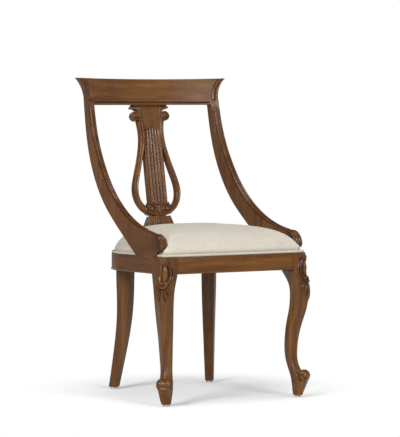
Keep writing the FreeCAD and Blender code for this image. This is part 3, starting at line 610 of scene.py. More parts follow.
def post_outline():
    """The outline in side view as (y, z), and how far along it the moulding starts and ends."""
    top_back = post_top_front + post_top_depth

    def back_point(along, up):
        return (arm_foot_back + along * (top_back - arm_foot_back), seat_height + up * post_height)

    def front_point(along, up):
        return (arm_nose_front + along * (post_top_front - arm_nose_front),
                seat_height + up * post_height)

    def nose_point(inward, up):
        return (arm_nose_front + inward, seat_height + up * arm_nose_rise)

    rise = mitre_rise + 5.0
    share = rise / crest_height
    narrowing = crest_thick_low - crest_thick_high
    back_end = (top_back + share * (crest_lean - narrowing), crest_bottom + rise)
    front_end = (post_top_front + share * crest_lean, crest_bottom + rise)
    back_curve = through([back_point(*p) for p in (
        (0.336, 0.173), (0.596, 0.329), (0.771, 0.49), (0.885, 0.655), (0.954, 0.822),
        (1.0, 1.0))], 90)
    brow = (arm_nose_front + 56.0, seat_height + arm_nose_rise)
    front_curve = through([front_point(*p) for p in (
        (1.0, 1.0), (0.953, 0.822), (0.878, 0.657), (0.769, 0.494), (0.607, 0.335),
        (0.487, 0.258), (0.237, 0.167))] + [brow], 130)
    nose_tip, chin = nose_point(0.0, 0.44), nose_point(18.0, 0.2)
    over_nose = arc_through(brow, nose_point(14.0, 0.83), nose_tip, 34)
    under_nose = arc_through(nose_tip, nose_point(5.5, 0.26), chin, 14)
    sunk = seat_height - 24.0
    foot = [(arm_foot_front, seat_height + 0.18 * arm_nose_rise), (arm_foot_front, sunk),
            (arm_foot_back, sunk)]
    start = crossing(back_point(0.0, 0.0), back_point(0.336, 0.173), 30)
    top = crossing(back_end, front_end, 8)
    plain = joined(foot, start, back_curve, [back_end], top)
    moulded = joined([front_end], front_curve, over_nose, under_nose)
    return joined(plain, moulded), len(plain), len(front_curve)

# %% [markdown]
# The moulding's two profiles are functions of the place across the edge, from 0 to 1: a
# centre bead for the post and three reeds for the nose. Between them the depth is mixed
# over a short length, as a carver would run one into the other.

# %% Moulded posts
def bead_moulding(across):
    """Depth of the edge below the plank's outline: quirked bead with flats beside it."""
    offset = np.abs(across - 0.5) * post_thickness
    bead_half, bead_drop, flat_drop, quirk_depth = 4.0, 1.3, 0.9, 1.2
    bead = bead_drop * (1 - rounded(offset, bead_half + 0.2))
    flat = flat_drop + quirk_depth * groove(offset - bead_half - 1.0, 1.1)
    return np.where(offset < bead_half, bead, flat * (1 - held((offset - 9.0) / 3.5) ** 2))


def reed_moulding(across):
    """Three reeds side by side."""
    reeds, depth = 3, 2.6
    return depth * (1 - np.abs(np.sin(np.clip(across, 0.02, 0.98) * reeds * math.pi)) ** 0.6)


def post_rings(outlines, across, side):
    """Side outlines, one for each share of the plank's thickness, leaned into place."""
    rings = np.zeros((len(across), outlines.shape[1], 3))
    rings[..., 0] = -post_thickness * across[:, None]
    rings[..., 1] = outlines[..., 0] + post_skew * across[:, None]
    rings[..., 2] = outlines[..., 1] - seat_height
    tilt = np.array([[math.cos(post_lean), 0, -math.sin(post_lean)], [0, 1, 0],
                     [math.sin(post_lean), 0, math.cos(post_lean)]])
    return (rings @ tilt.T + (half_frame, 0, seat_height)) * (side, 1, 1)


def moulded_post(side):
    """The post and arm in one: its side outline, pressed in along the moulded edge."""
    loop, plain_count, front_count = post_outline()
    across, order = np.linspace(0, 1, 33), np.arange(len(loop)) - plain_count
    moulded = held(order / 3) * held((len(loop) - plain_count - order) / 2)
    nose = held((order - front_count + 4) / 6)
    depth = bead_moulding(across)[:, None] * (1 - nose) + reed_moulding(across)[:, None] * nose
    depth = depth * moulded
    outlines = loop[None] + depth[:, :, None] * inward_normals(loop)[None]
    points, faces = bar(post_rings(outlines, across, side))
    name = side_names[side]
    post = make_piece("post_moulded_" + name, points, faces, ["post_" + name],
                      held(depth / 2.0).ravel())
    trim_post(post, side)


def trim_post(post, side):
    """Saws the post off at the mitre under the crest and along the seat plane."""
    low_x, high_x = post_inner_x(crest_bottom), post_outer_x(crest_bottom + mitre_rise)
    cut_off(post, (side * low_x, 0, crest_bottom), (-side * mitre_rise, 0, high_x - low_x))
    cut_off_at_seat(post)


def cut_off(piece, point, outward):
    """Saws away what lies outward of a plane and closes the cut."""
    with edited(piece.data) as work:
        geometry = work.verts[:] + work.edges[:] + work.faces[:]
        made = bmesh.ops.bisect_plane(work, geom=geometry, dist=1e-6, clear_outer=True,
                                      plane_co=to_frame(point)[0], plane_no=outward)
        rim = [e for e in made["geom_cut"] if isinstance(e, bmesh.types.BMEdge)]
        bmesh.ops.edgenet_fill(work, edges=rim)
        bmesh.ops.recalc_face_normals(work, faces=work.faces)


def cut_off_at_seat(piece):
    """Saws away what lies under the seat plane."""
    cut_off(piece, (0, front_face, seat_height), (0, -math.sin(seat_pitch), -math.cos(seat_pitch)))
    smooth_shaded(piece.data)


for side in side_names:
    moulded_post(side)

# %% [markdown]
# ## The lyre
# The splat is a lyre: a fluted column with a scrolled capital, two arms that swell out and
# come back to a block of scrolls, and a flared shoe. All of it leans back together from
# the seat rail to the crest, so every piece is laid out upright and put in place by
# one function.

# %% Where the lyre stands and how it leans
splat_thickness, splat_base_thickness, splat_foot_y = 20.0, 26.0, 226.3
column_half, column_waist, capital_half, capital_neck = 31.0, 26.2, 65.0, 59.0
volute_radius, volute_centre, volute_drop, lyre_half = 15.0, 49.5, 35.5, 79.5
block_half, block_height, block_foot, collar_half, collar_height = 41.0, 36.0, 101.5, 34.0, 5.0
column_foot = block_foot + block_height + collar_height
splat_foot_z = rail_top(splat_foot_y)
splat_run = crest_front_y() + crest_thick_low / 2 - splat_foot_y
splat_lean = math.atan2(splat_run, crest_bottom - splat_foot_z)
splat_length = math.hypot(splat_run, crest_bottom - splat_foot_z)


def leaned(points):
    """From the lyre's own upright layout (across, through, along) to its leaning place."""
    points = np.asarray(points, float).reshape(-1, 3)
    y = points[:, 1] * math.cos(splat_lean) + points[:, 2] * math.sin(splat_lean)
    z = points[:, 2] * math.cos(splat_lean) - points[:, 1] * math.sin(splat_lean)
    return np.stack([points[:, 0], y + splat_foot_y, z + splat_foot_z], 1)


def on_lyre(thickness, side=1):
    """A placing function for a plank of that thickness, in the middle of the lyre."""
    def place(across, proud, up):
        return leaned(np.stack([side * across, -thickness / 2 - proud, up], 1))
    return place


def lyre_point(bulge, share):
    height = splat_length - volute_drop - block_foot
    return (column_half + bulge * (lyre_half - column_half), block_foot + share * height)


column_side = [lyre_point(0.0, 0.685), (column_waist, lyre_point(0.0, 0.837)[1]),
               (column_half + 3.0, lyre_point(0.0, 0.983)[1])]
print("lyre: length", round(splat_length, 1), "mm, lean", round(math.degrees(splat_lean), 1))

# %% [markdown]
# **The column** is a shield above and a pilaster below. Its five flutes start under round
# arches where the shield narrows, follow the sides, and end on the collar. A flute is a
# round hollow, so its depth is a half circle across and a short quarter circle at its head.

# %% The fluted column and its capital
def column_half_at(z):
    """Half the column's width at a height, for flutes that follow its sides."""
    side = through(column_side, 60)
    return np.interp(z, np.concatenate([[column_foot], side[:, 1]]),
                     np.concatenate([[column_half], side[:, 0]]))


def column_loop():
    """The column's outline: straight sides, a waist, and a capital with round lips."""
    tip, end = splat_length - 11.0, splat_length - 0.2
    shoulder, lip = (column_half + 24.0, tip - 1.5), (capital_half - 1.5, tip - 1.0)
    lip_top, neck = (capital_half, tip + 1.6), (capital_half - 2.0, tip + 4.6)
    bend = (column_half + 8.4, (column_side[2][1] + shoulder[1]) / 2 + 2.5)
    straight = crossing((column_half, column_foot), column_side[0], 90)
    side = through(column_side, 60)
    spring = through([column_side[2], bend, shoulder], 14)
    corner = [lip, lip_top, neck, (capital_neck, tip + 5.8), (capital_neck, end)]
    right = joined(straight, side, spring, corner)
    top = crossing((capital_neck, end), (-capital_neck, end), 40)
    base = crossing((-column_half, column_foot), (column_half, column_foot), 26)
    return joined(right, top, right[::-1] * (-1, 1), base)[:-1]


def fluting(places):
    """Five flutes that narrow with the column and end in arches."""
    x, z = places[:, 0], places[:, 1]
    depth, pitch, flute_share = 2.5, 0.352, 0.86
    share = x / column_half_at(z)
    number = np.clip(np.round(share / pitch), -2, 2)
    offset = (share - number * pitch) / (pitch / 2)
    head = lyre_point(0.0, 0.87)[1] - 3.0 * np.abs(number)
    above = np.clip((z - head) / 6.0, 0, 3)
    below = np.clip((column_foot + 5.0 - z) / 4.0, 0, 3)
    return -depth * held(1 - (offset / flute_share) ** 2 - above ** 2 - below ** 2) ** 0.75


def capital_carving(places):
    """Mouldings across the neck under the crest, and a hollow line round the shield."""
    x, z = np.abs(places[:, 0]), places[:, 1]
    top = splat_length - z
    cornice = 1.8 * rounded(top - 2.6, 2.6) - 1.2 * groove(top - 5.8, 1.0)
    fillet = 0.9 * groove(top - 8.2, 1.2)
    shield = -1.4 * held((z - lyre_point(0.0, 0.80)[1]) / 30)
    rim = held((column_half_at(z) - x) / 2.2)
    return cornice + fillet + np.where(top > 12, shield * rim, 0)


def carve_column(places):
    return fluting(places) + capital_carving(places)


points, faces, heights = plank(column_loop(), 0.95, carve_column, on_lyre(splat_thickness),
                               splat_thickness)
make_piece("lyre_column_fluted", points, faces, ["lyre_column"], 0.45 * held(-heights / 2.6))

# %% [markdown]
# **The arms** carry a hollow between two raised edges, and a leaf runs down their inner
# side from the volute. The volute stands proud of the arm: a ball with a scroll wound
# round it. Distances to the outline give the raised edges; paths give the scroll.

# %% The lyre's arms with their volutes
volute_eye = np.array((volute_centre, splat_length - volute_drop))


def arm_loop():
    outer = [lyre_point(*p) for p in ((0.196, 0.837), (0.373, 0.626), (0.833, 0.387),
                                      (1.0, 0.265), (0.863, 0.146), (0.373, 0.046))]
    inner = [lyre_point(*p) for p in ((0.225, 0.559), (0.441, 0.44), (0.657, 0.322),
                                      (0.696, 0.222), (0.539, 0.143))]
    outer_start = (volute_centre - 0.25 * volute_radius, lyre_point(0.0, 0.973)[1])
    outer_end = (block_half, lyre_point(0.0, 0.03)[1])
    inner_end = (block_half, lyre_point(0.0, 0.09)[1])
    side = through(column_side, 60)
    eye = volute_eye
    over = [eye + volute_radius * np.array((math.cos(a), math.sin(a)))
            for a in np.radians(np.linspace(196, -118, 44))]
    down = through([outer_start] + outer + [outer_end], 150)
    down = down[np.linalg.norm(down - eye, axis=1) > volute_radius + 0.4]
    end = crossing(outer_end, inner_end, 8)
    up = through([inner_end] + inner[::-1] + [column_side[0]], 110)
    side = side[side[:, 1] < eye[1] - 3.8]
    return joined(side, over, down, end, up)[::-1][:-1], side


def carve_arm(places):
    """Raised edges with a hollow between, a leaf, and the volute's ball with its scroll."""
    rim = path_distance(places, np.vstack([arm_outline, arm_outline[:1]]))[0]
    edge = 1.8 * np.sin(math.pi * held(rim / 4.8)) ** 0.8
    cove = -1.9 * np.sin(math.pi / 2 * held((rim - 4.0) / 3.4)) ** 2
    inner_leaf = np.array([(column_half + 8.0, volute_eye[1] - 2.0)] + [
        (x + 3.6, z) for x, z in arm_side[::-1][4::6]])
    leaf_band = ridge(places, inner_leaf, 7.0, 4.2, tip=0.35)
    from_eye = np.linalg.norm(places - volute_eye, axis=1)
    winding = spiral(volute_eye, volute_radius - 1.5, 4.5, 1.35, 200, -1)
    ball = 3.4 + 3.0 * rounded(from_eye, volute_radius)
    ball -= 2.4 * groove(path_distance(places, winding)[0] - 2.6, 1.3)
    ball += 2.2 * rounded(from_eye, 5.0)
    return np.where(from_eye < volute_radius, np.maximum(ball, 0.5),
                    np.maximum(edge + cove, leaf_band))


arm_outline, arm_side = arm_loop()
for side, name in side_names.items():
    points, faces, heights = plank(arm_outline, 0.9, carve_arm, on_lyre(splat_thickness, side),
                                   splat_thickness)
    make_piece("lyre_arm_carved_" + name, points, faces, ["lyre_arm_" + name],
               held(-heights / 1.8))

# %% [markdown]
# **The scroll block** joins the arms to the column: two scrolls that face each other with
# a ball for an eye, and a three-lobed husk between them, under the column's collar.

# %% The scroll block and its collar
def block_loop():
    """The block's outline, with the collar on top of it and a bowed foot."""
    top, corner_z = block_foot + block_height, block_foot + 0.22 * block_height
    right = resampled(np.array([(block_half, corner_z), (block_half, top - 3),
                                (collar_half, top), (collar_half, column_foot)]), 40)
    base = arc_through((-block_half, corner_z), (0, block_foot), (block_half, corner_z), 60)
    collar_top = crossing((collar_half, column_foot), (-collar_half, column_foot), 40)
    return joined(base, right, collar_top, right[::-1] * (-1, 1))[:-1]


def carve_block(places):
    """Two scrolls with a ball for an eye, three husk lobes and a bead, under a round collar."""
    folded = np.stack([np.abs(places[:, 0]), places[:, 1]], 1)
    eye, ground = np.array((25.5, block_foot + 0.6 * block_height)), -2.2
    shapes = [np.full(len(places), ground),
              ridge(folded, spiral(eye, 15.5, 8.5, 0.95, -20, -1), 5.0, 3.4),
              dome(folded, eye, (7.4, 7.4), 5.4),
              dome(places, (0, block_foot + 5.0), (3.0, 3.0), 3.4),
              leaf(places, (0, block_foot + 4), (0, column_foot - 8), 9.0, 3.2)]
    for tilt in (-1, 1):
        shapes.append(leaf(places, (0, block_foot + 6), (tilt * 8.0, column_foot - 11), 6.0, 2.4,
                           bow=-tilt * 2.0))
    middle = block_foot + block_height + collar_height / 2
    roll = 2.6 * rounded(places[:, 1] - middle, 3.2)
    on_collar = places[:, 1] > block_foot + block_height - 0.5
    return np.where(on_collar, roll, np.maximum.reduce(shapes))


points, faces, heights = plank(block_loop(), 0.8, carve_block, on_lyre(splat_base_thickness),
                               splat_base_thickness)
make_piece("lyre_scroll_block_carved", points, faces, ["lyre_scroll_block"],
           held((1.0 - heights) / 3.0))

# %% [markdown]
# **The shoe** flares from a neck under the scrolls to a foot on the back rail, with a row of
# gadroons, round lobes like the edge of a pie, worked round its skirt. The flare is
# a bar of rounded rectangles; the lobes are a scalloped height round each ring.

# %% The gadrooned shoe
def rounded_ring(half_x, half_y, corner, count):
    """A rectangle with round corners as evenly spread points, with their outward normals."""
    runs = []
    for turn, (sx, sy) in enumerate(((1, 1), (-1, 1), (-1, -1), (1, -1))):
        angles = np.radians(np.linspace(90 * turn, 90 * turn + 90, 9))
        runs.append(np.stack([sx * (half_x - corner) + corner * np.cos(angles),
                              sy * (half_y - corner) + corner * np.sin(angles)], 1))
    loop = np.vstack(runs + [runs[0][:1]])
    ring = resampled(loop, count + 1)[:-1]
    return ring, -normals_of(ring)


def shoe_rings():
    """The shoe's levels: a plain plinth below the seat, then the flare with its gadroons."""
    plinth_height, neck, foot, count = 37.0, (37.0, 11.0), (57.0, 16.5), 240
    gadroons, lobe_depth, forward = 11, 3.2, 7.0
    levels = [(z, 1.0, 0.0) for z in (-2.0, 8.0, plinth_height - 12)]
    for share in np.linspace(0, 1, 26):
        flare = np.interp(share, (0, 0.36, 0.67, 1.0), (1.0, 0.85, 0.42, 0.0))
        lobes = np.interp(share, (0, 0.06, 0.62, 0.84), (1.0, 1.0, 0.9, 0.0))
        levels.append((plinth_height + share * (block_foot - plinth_height), flare, lobes))
    rings, depths = [], []
    for z, flare, lobes in levels:
        half_x, half_y = (n + flare * (f - n) for n, f in zip(neck, foot))
        ring, normals = rounded_ring(half_x, half_y, 2.5, count)
        wave = np.abs(np.sin(ring[:, 0] / half_x * math.pi * gadroons / 2)) ** 0.55
        depth = lobe_depth * lobes * (1 - wave) * (np.abs(normals[:, 1]) > 0.5)
        ring = ring - normals * depth[:, None]
        rings.append(np.column_stack([ring[:, 0], ring[:, 1] + forward * flare,
                                      np.full(count, z)]))
        depths.append(depth)
    return np.array(rings), np.array(depths)


rings, depths = shoe_rings()
points, faces = bar(rings)
shoe = make_piece("lyre_shoe_gadrooned", leaned(points), faces, ["lyre_shoe"],
                  held(depths / 2.0).ravel())
cut_off_at_seat(shoe)

# %% [markdown]
# ## The front legs
# The front legs are cabriole: a square block at the rail, a knee, a slim S-shaped shank and
# a foot under a scrolled toe. The knee's carving lies on the outer corner and wraps
# round it, so the leg is a bar of rounded rectangles, and the carving is a height
# above that skin, drawn on a map whose axes are the way round the corner and the
# height off the floor.

# %% The knee's carving, drawn as heights on the corner's map
def knee_carving(places):
    """places are (round the corner, height): a framed cabochon, scrolls, beads and husks."""
    middle, stretch, boldness = np.array((3.0, 377.0)), (1.22, 1.1), 1.4
    places = middle + (places - middle) / stretch

    def oval(half_x, half_z, first, last):
        a = np.radians(np.linspace(first, last, 60))
        return middle + np.stack([half_x * np.cos(a), half_z * np.sin(a)], 1)

    shapes = [ridge(places, oval(14.5, 33.0, -262, 74), 5.6, 4.6, tip=0.05, root=0.04),
              dome(places, middle + (0, 3.5), (7.8, 20.0), 4.8, 0.6),
              dome(places, middle + (-9.0, 34.0), (4.6, 4.9), 5.0),
              leaf(places, middle + (0, -37), middle + (0, -82), 9.5, 5.0)]
    for hand in (1, -1):
        rim = oval(20.0, 36.0, 90 - hand * 52, 90 - hand * 150)
        shapes += [ridge(places, rim, 3.6, 3.0, tip=0.2, root=0.3),
                   dome(places, middle + (hand * 5.4, -21.5), (4.8, 4.8), 5.0)]
        for start, end, width, bow in (((4, -37), (9.0, -68), 8.6, 2.0),
                                       ((9, -35), (19.0, -53), 7.4, 2.5)):
            root, tip = (middle + (hand * x, z) for x, z in (start, end))
            shapes.append(leaf(places, root, tip, width, 4.2, hand * bow))
    heights = np.maximum.reduce(shapes)
    soft_foot = heights / (heights + 0.8)
    return boldness * heights * soft_foot

# %% [markdown]
# Each ring goes round the leg from the middle of the outer front corner. The corner is
# rounder where the carving lies, so the points crowd there.

# %% The legs' rings
# each station: share of the height, out, back, width, depth and corner
leg_stations = np.array([
    (0.00, 0.0, 0.0, 23.0, 23.0, 5.0), (0.09, 1.6, -1.1, 32.0, 32.0, 7.0),
    (0.15, 0.3, 1.1, 34.6, 34.6, 8.0), (0.21, -5.6, 9.4, 31.0, 31.0, 8.0),
    (0.28, -10.0, 17.5, 30.0, 30.0, 8.0), (0.37, -10.8, 20.8, 32.5, 32.5, 8.5),
    (0.48, -8.5, 19.0, 35.5, 35.5, 9.0), (0.59, -3.5, 12.8, 39.5, 39.5, 9.5),
    (0.69, 2.4, 5.2, 43.0, 43.0, 10.0), (0.80, 6.0, 1.2, 46.5, 46.5, 10.5),
    (0.90, 5.0, 3.0, 49.5, 51.0, 9.0)])
carving_reach, rounding_from, rounded_corner = 32, 270, 12.5
panel_depth, panel_foot, panel_top, panel_half = 1.8, 288, 424, 29


def smoothly(share):
    """From 0 to 1 with a soft start and a soft end."""
    return share * share * (3 - 2 * share)


def crowded(count, power=1.25):
    """Shares from 0 to 1 that crowd towards 0."""
    return np.linspace(0, 1, count) ** power


def leg_ring(half_x, half_y, corner, carved_corner):
    """A ring from the carved corner's middle: along the front, round, and back by the side.
    Local axes: +x is outward, -y is to the front; the carved corner is (+x, -y)."""
    r, c = corner, carved_corner
    carved = (half_x - c, c - half_y)
    corners = [(carved, c, -45, -90, 14), ((r - half_x, r - half_y), r, -90, -180, 8),
               ((r - half_x, half_y - r), r, 180, 90, 8), ((half_x - r, half_y - r), r, 90, 0, 8),
               (carved, c, 0, -45, 14)]
    arcs = []
    for (x, y), radius, first, last, count in corners:
        a = np.radians(np.linspace(first, last, count))
        arcs.append(np.stack([x + radius * np.cos(a), y + radius * np.sin(a)], 1))
    spread = [crowded(34), np.linspace(0, 1, 14), np.linspace(0, 1, 12), 1 - crowded(36)[::-1]]
    runs = []
    for arc, following, shares in zip(arcs, arcs[1:], spread):
        runs += [arc, arc[-1] + shares[1:-1, None] * (following[0] - arc[-1])]
    return np.vstack(runs + [arcs[-1][:-1]])


def with_foot_face(ring, z, centre_out):
    """Under the scroll the foot has a flat face, square to the outward diagonal. It widens
    from the glide up to the scroll."""
    foot, touch, ends = 8, 56.0, 78
    if z > ends:
        return ring
    reach = np.interp(z, (foot, touch, ends), (13.0, 33.4, 4.0)) - centre_out
    half = np.interp(z, (foot, 20, touch, ends), (12.0, 14.5, 18.0, 12.0))
    out = (ring[:, 0] - ring[:, 1]) * math.sqrt(0.5)
    across = (ring[:, 0] + ring[:, 1]) * math.sqrt(0.5)
    radius = np.hypot(out, across)
    cosine, sine = out / radius, np.abs(across) / radius
    face = (np.maximum(cosine, 1e-6) / reach) ** 7 + (sine / half) ** 7
    face = np.where(cosine > 0, face ** (-1 / 7), 0.0)
    wider = (radius ** 9 + face ** 9) ** (1 / 9)
    return ring * (wider / radius)[:, None]


def from_corner(ring):
    """How far each point of a ring lies from its start, round the nearer way, with a sign."""
    step = np.linalg.norm(np.diff(ring, axis=0, append=ring[:1]), axis=1)
    around = np.cumsum(step) - step
    return np.where(around > step.sum() / 2, around - step.sum(), around)


def front_leg(side):
    """Rings from the glide to the seat, each pushed out by the carving and in by the panel."""
    shaft_top = seat_height - rail_height - 6.0
    shaft = shaft_top - glide_height
    block_x = half_frame + block_proud - leg_block[0] / 2
    block_y = front_face - block_proud + leg_block[1] / 2
    top_station = (1.0, block_x - front_foot[0], block_y - front_foot[1], *leg_block, 3.0)
    stations = np.vstack([leg_stations, top_station])
    shares = np.concatenate([np.linspace(0, 0.74, 70), np.linspace(0.743, 1.0, 100)])
    made = natural_cubic(stations[:, 0], stations[:, 1:], shares)
    levels = [(glide_height + share * shaft, *row) for share, row in zip(shares, made)]
    levels += [(z, *top_station[1:]) for z in np.linspace(shaft_top + 0.8, 430, 84)]
    rings, hollow = [], []
    for z, out, back, width, depth, corner in levels:
        rounder = corner + held((z - rounding_from) / 40) * max(0.0, rounded_corner - corner)
        ring = leg_ring(width / 2, depth / 2, corner, rounder)
        ring = with_foot_face(ring, z, (out - back) * math.sqrt(0.5))
        around = from_corner(ring)
        near, raised = np.abs(around) < carving_reach, np.zeros(len(ring))
        raised[near] = knee_carving(np.column_stack([around[near], np.full(near.sum(), z)]))
        sunk = panel_depth * smoothly(held((z - panel_foot) / 40) * held((panel_top - z) / 14))
        sunk = sunk * smoothly(held((panel_half - np.abs(around)) / 12))
        ring = ring + normals_of(ring) * (raised - sunk)[:, None]
        x, y = front_foot[0] + out + ring[:, 0], front_foot[1] + back + ring[:, 1]
        height = np.maximum(np.minimum(z, rail_top(y)), glide_height)
        rings.append(np.stack([side * x, y, height], 1))
        hollow.append(0.6 * held((sunk - raised) / panel_depth) ** 3)
    points, faces = bar(rings)
    name = side_names[side]
    make_piece("front_leg_carved_" + name, points, faces, ["front_leg_" + name],
               np.array(hollow).ravel())


for side in side_names:
    front_leg(side)

# %% [markdown]
# **The toe's scroll** is a round bar that lies across the toe, with a scroll cut into each
# end. A turned profile gives the bar, and a groove that comes nearer to the middle
# as it goes round gives the scroll.

# %% Toe scrolls
def toe_scroll(side):
    """A turned bar across the foot, with rounded ends that a scroll is cut into."""
    radius, length, rounding, height, reach = 17.5, 46.0, 12.0, 63.5, 17.5
    waist, cut_depth = 1.4, 1.9
    slant, straight_half = math.sqrt(0.5), length / 2 - rounding
    along, outward = np.array((slant, slant, 0.0)), np.array((slant, -slant, 0.0))
    upward = np.array((0, 0, 1.0))
    centre = np.array((front_foot[0], front_foot[1], height)) + outward * reach
    hub = [(-length / 2, r) for r in np.linspace(0.2, radius - rounding, 6)[:-1]]
    end = [(-length / 2 + rounding * (1 - math.cos(a)), radius - rounding * (1 - math.sin(a)))
           for a in np.radians(np.linspace(0, 90, 22))]
    middle = [(x, radius - waist * math.cos(x / straight_half * math.pi / 2))
              for x in np.linspace(-straight_half, straight_half, 14)[1:-1]]
    half = np.array(hub + end)
    turns = np.radians(np.linspace(0, 360, 72, endpoint=False))
    wound = 4.5 + turns / (2 * math.pi) * 7.5
    round_it = np.cos(turns)[:, None] * outward + np.sin(turns)[:, None] * upward
    rings, cuts = [], []
    for x, r in np.vstack([half, middle, half[::-1] * (-1, 1)]):
        on_end = abs(x) > length / 2 - rounding * 0.85
        cut = cut_depth * groove(r - wound, 1.2) * on_end
        place = centre + along * (x - math.copysign(1, x) * cut[:, None])
        rings.append((place + r * round_it) * (side, 1, 1))
        cuts.append(cut)
    points, faces = bar(rings)
    make_piece("toe_scroll_" + side_names[side], points, faces, (),
               held(np.array(cuts) / 1.6).ravel())


for side in side_names:
    toe_scroll(side)

# %% [markdown]
# ## Rails, beads and the plain legs
# The seat rails, the rear legs and the blocks are plain planed wood, so the CAD's own
# solids stay and get the finish. The rails' lower edge has a thin applied bead, a **cock
# bead**. It follows a path, so Geometry Nodes sweep it: a tree that turns a line
# into a curve, sweeps a round profile, pressed a little flat, along it and sets the finish.
# The tree has named inputs, and the same tree later makes the welt of the seat.

# %% A Geometry Nodes tree that sweeps a round section along a line
def line_tree(name, sizes):
    """A tree that takes a line, the named sizes and a finish; also its inputs and its curve."""
    tree = bpy.data.node_groups.new(name, "GeometryNodeTree")

    def socket(label, kind, way="INPUT"):
        return tree.interface.new_socket(label, in_out=way, socket_type="NodeSocket" + kind)

    socket("Geometry", "Geometry")
    for label, (kind, value) in sizes.items():
        socket(label, kind).default_value = value
    socket("Finish", "Material")
    socket("Geometry", "Geometry", "OUTPUT")
    given = add_node(tree, "NodeGroupInput").outputs
    return tree, given, add_node(tree, "GeometryNodeMeshToCurve", _0=given["Geometry"]).outputs[0]


def end_of_tree(tree, given, made):
    """Every tree ends in real meshes with their finish."""
    real = add_node(tree, "GeometryNodeRealizeInstances", _0=made)
    done = add_node(tree, "GeometryNodeSetMaterial", _0=real.outputs[0], Material=given["Finish"])
    add_node(tree, "NodeGroupOutput", _0=done.outputs[0])
    return tree


def sweep_tree():
    """Sweeps a round section, pressed flat by the share Flattening, along the line."""
    tree, given, line = line_tree("swept_bead", {
        "Radius": ("Float", 0.003), "Flattening": ("Float", 1.0), "Sides": ("Int", 12)})
    upright = add_node(tree, "GeometryNodeSetCurveNormal", {"mode": "Z_UP"}, _0=line)
    section = add_node(tree, "GeometryNodeCurvePrimitiveCircle", Resolution=given["Sides"],
                       Radius=given["Radius"])
    size = add_node(tree, "ShaderNodeCombineXYZ", X=given["Flattening"], Y=1.0, Z=1.0)
    pressed = add_node(tree, "GeometryNodeTransform", _0=section.outputs[0],
                       Scale=size.outputs[0])
    swept = add_node(tree, "GeometryNodeCurveToMesh", _0=upright.outputs[0],
                     Profile_Curve=pressed.outputs[0], Fill_Caps=True)
    return end_of_tree(tree, given, swept.outputs[0])


def run_tree(name, points, tree, inputs, closed=False, sharp_from=42.0):
    """Runs a tree on a line of points and keeps the result as a plain mesh."""
    count = len(points)
    edges = [(i, (i + 1) % count) for i in range(count if closed else count - 1)]
    piece = in_scene(name, mesh_of(name, points, [], edges))
    modifier = piece.modifiers.new("made_by_nodes", "NODES")
    modifier.node_group = tree
    for item in tree.interface.items_tree:
        if item.in_out == "INPUT" and item.name in inputs:
            modifier[item.identifier] = inputs[item.name]
    apply_modifiers(piece)
    return ride_as(piece, sharp_from)


swept_bead = sweep_tree()

# %% Cock beads along the rails' lower edge
bead_rise = 3.2


def rail_foot(x, y):
    """Where the bead's middle line runs, over a place in plan."""
    return (x, y, rail_top(y) - rail_height + bead_rise)


def side_bead(side):
    """From the leg's block along the side rail and round the back to the chair's middle."""
    block_back = front_face - block_proud + leg_block[1]
    straight = [rail_foot(side * half_frame, y) for y in np.linspace(block_back, round_start, 30)]
    centre_x = half_frame - round_radius
    bent = [rail_foot(side * (centre_x + round_radius * math.cos(a)),
                      round_start + round_radius * math.sin(a))
            for a in np.radians(np.linspace(2, 90, 46))]
    return straight + bent


left_run, right_run = side_bead(-1), side_bead(1)
around = left_run + right_run[::-1]
bead_inputs = {"Radius": 0.003, "Flattening": 0.75, "Sides": 14, "Finish": mahogany_lengthways}
run_tree("cock_bead_sides_and_back", around, swept_bead, bead_inputs)
inner_x = half_frame + block_proud - leg_block[0]
front_line = [rail_foot(x, front_face) for x in np.linspace(-inner_x, inner_x, 40)]
run_tree("cock_bead_front", front_line, swept_bead, {**bead_inputs, "Finish": mahogany_across})

# %% [markdown]
# ## The seat
# **Linen.** The seat is covered in a plain-woven, slubby linen in a warm off-white. Up close
# it is a grid of uneven threads, about 0.6 mm each; at the photograph's distance only
# the slubs show, as faint streaks both ways. The threads are drawn 1.4 mm wide, in streaks
# about 30 mm long, and a little sheen gives the fibre's bloom at the edges.

# %% Seat linen
def linen(name, base, thread):
    """base is the cloth's colour and thread the darker one between its slubs."""
    material, tree, shader = new_material(name)
    width, length = 1.4286, 29.41
    weft = stretched_noise(tree, (length, width, width), detail=3.0)
    warp = stretched_noise(tree, (width, length, length), detail=3.0)
    crossed = add_node(tree, "ShaderNodeMath", {"operation": "ADD"}, _0=weft, _1=warp).outputs[0]
    slubs = ramp(tree, crossed, ((0.72, 0.0), (1.0, 1.0)))
    cloud = ramp(tree, stretched_noise(tree, (71.43,) * 3), ((0.3, 0.94), (0.7, 1.0)))
    cloth = mixed(tree, 1.0, mixed(tree, slubs, colour(thread), colour(base)), cloud, "MULTIPLY")
    fill(tree, shader, Base_Color=cloth, Normal=relief(tree, crossed, 0.5, 0.0007),
         Roughness=0.92, Specular_IOR_Level=0.2, Sheen_Weight=0.15, Sheen_Roughness=0.5)
    return material


seat_linen = linen("plain_woven_linen", "#CFC8B9", "#C2B9A9")
welt_linen = linen("linen_welt", "#CDC5B6", "#BAB0A0")

# %% [markdown]
# **The cushion** is foam under the linen, crowned in the middle, its sides rising steeply
# from the welt and drawn in at their foot. It is laid up as level rings of the seat's own
# outline. Cloth simulation makes it cloth: the skin is remeshed evenly, blown up a little
# while its foot is held, and no point may move further than 2 mm. At last the arms' and
# the shoe's places are cut out of it, where the linen is tucked in.

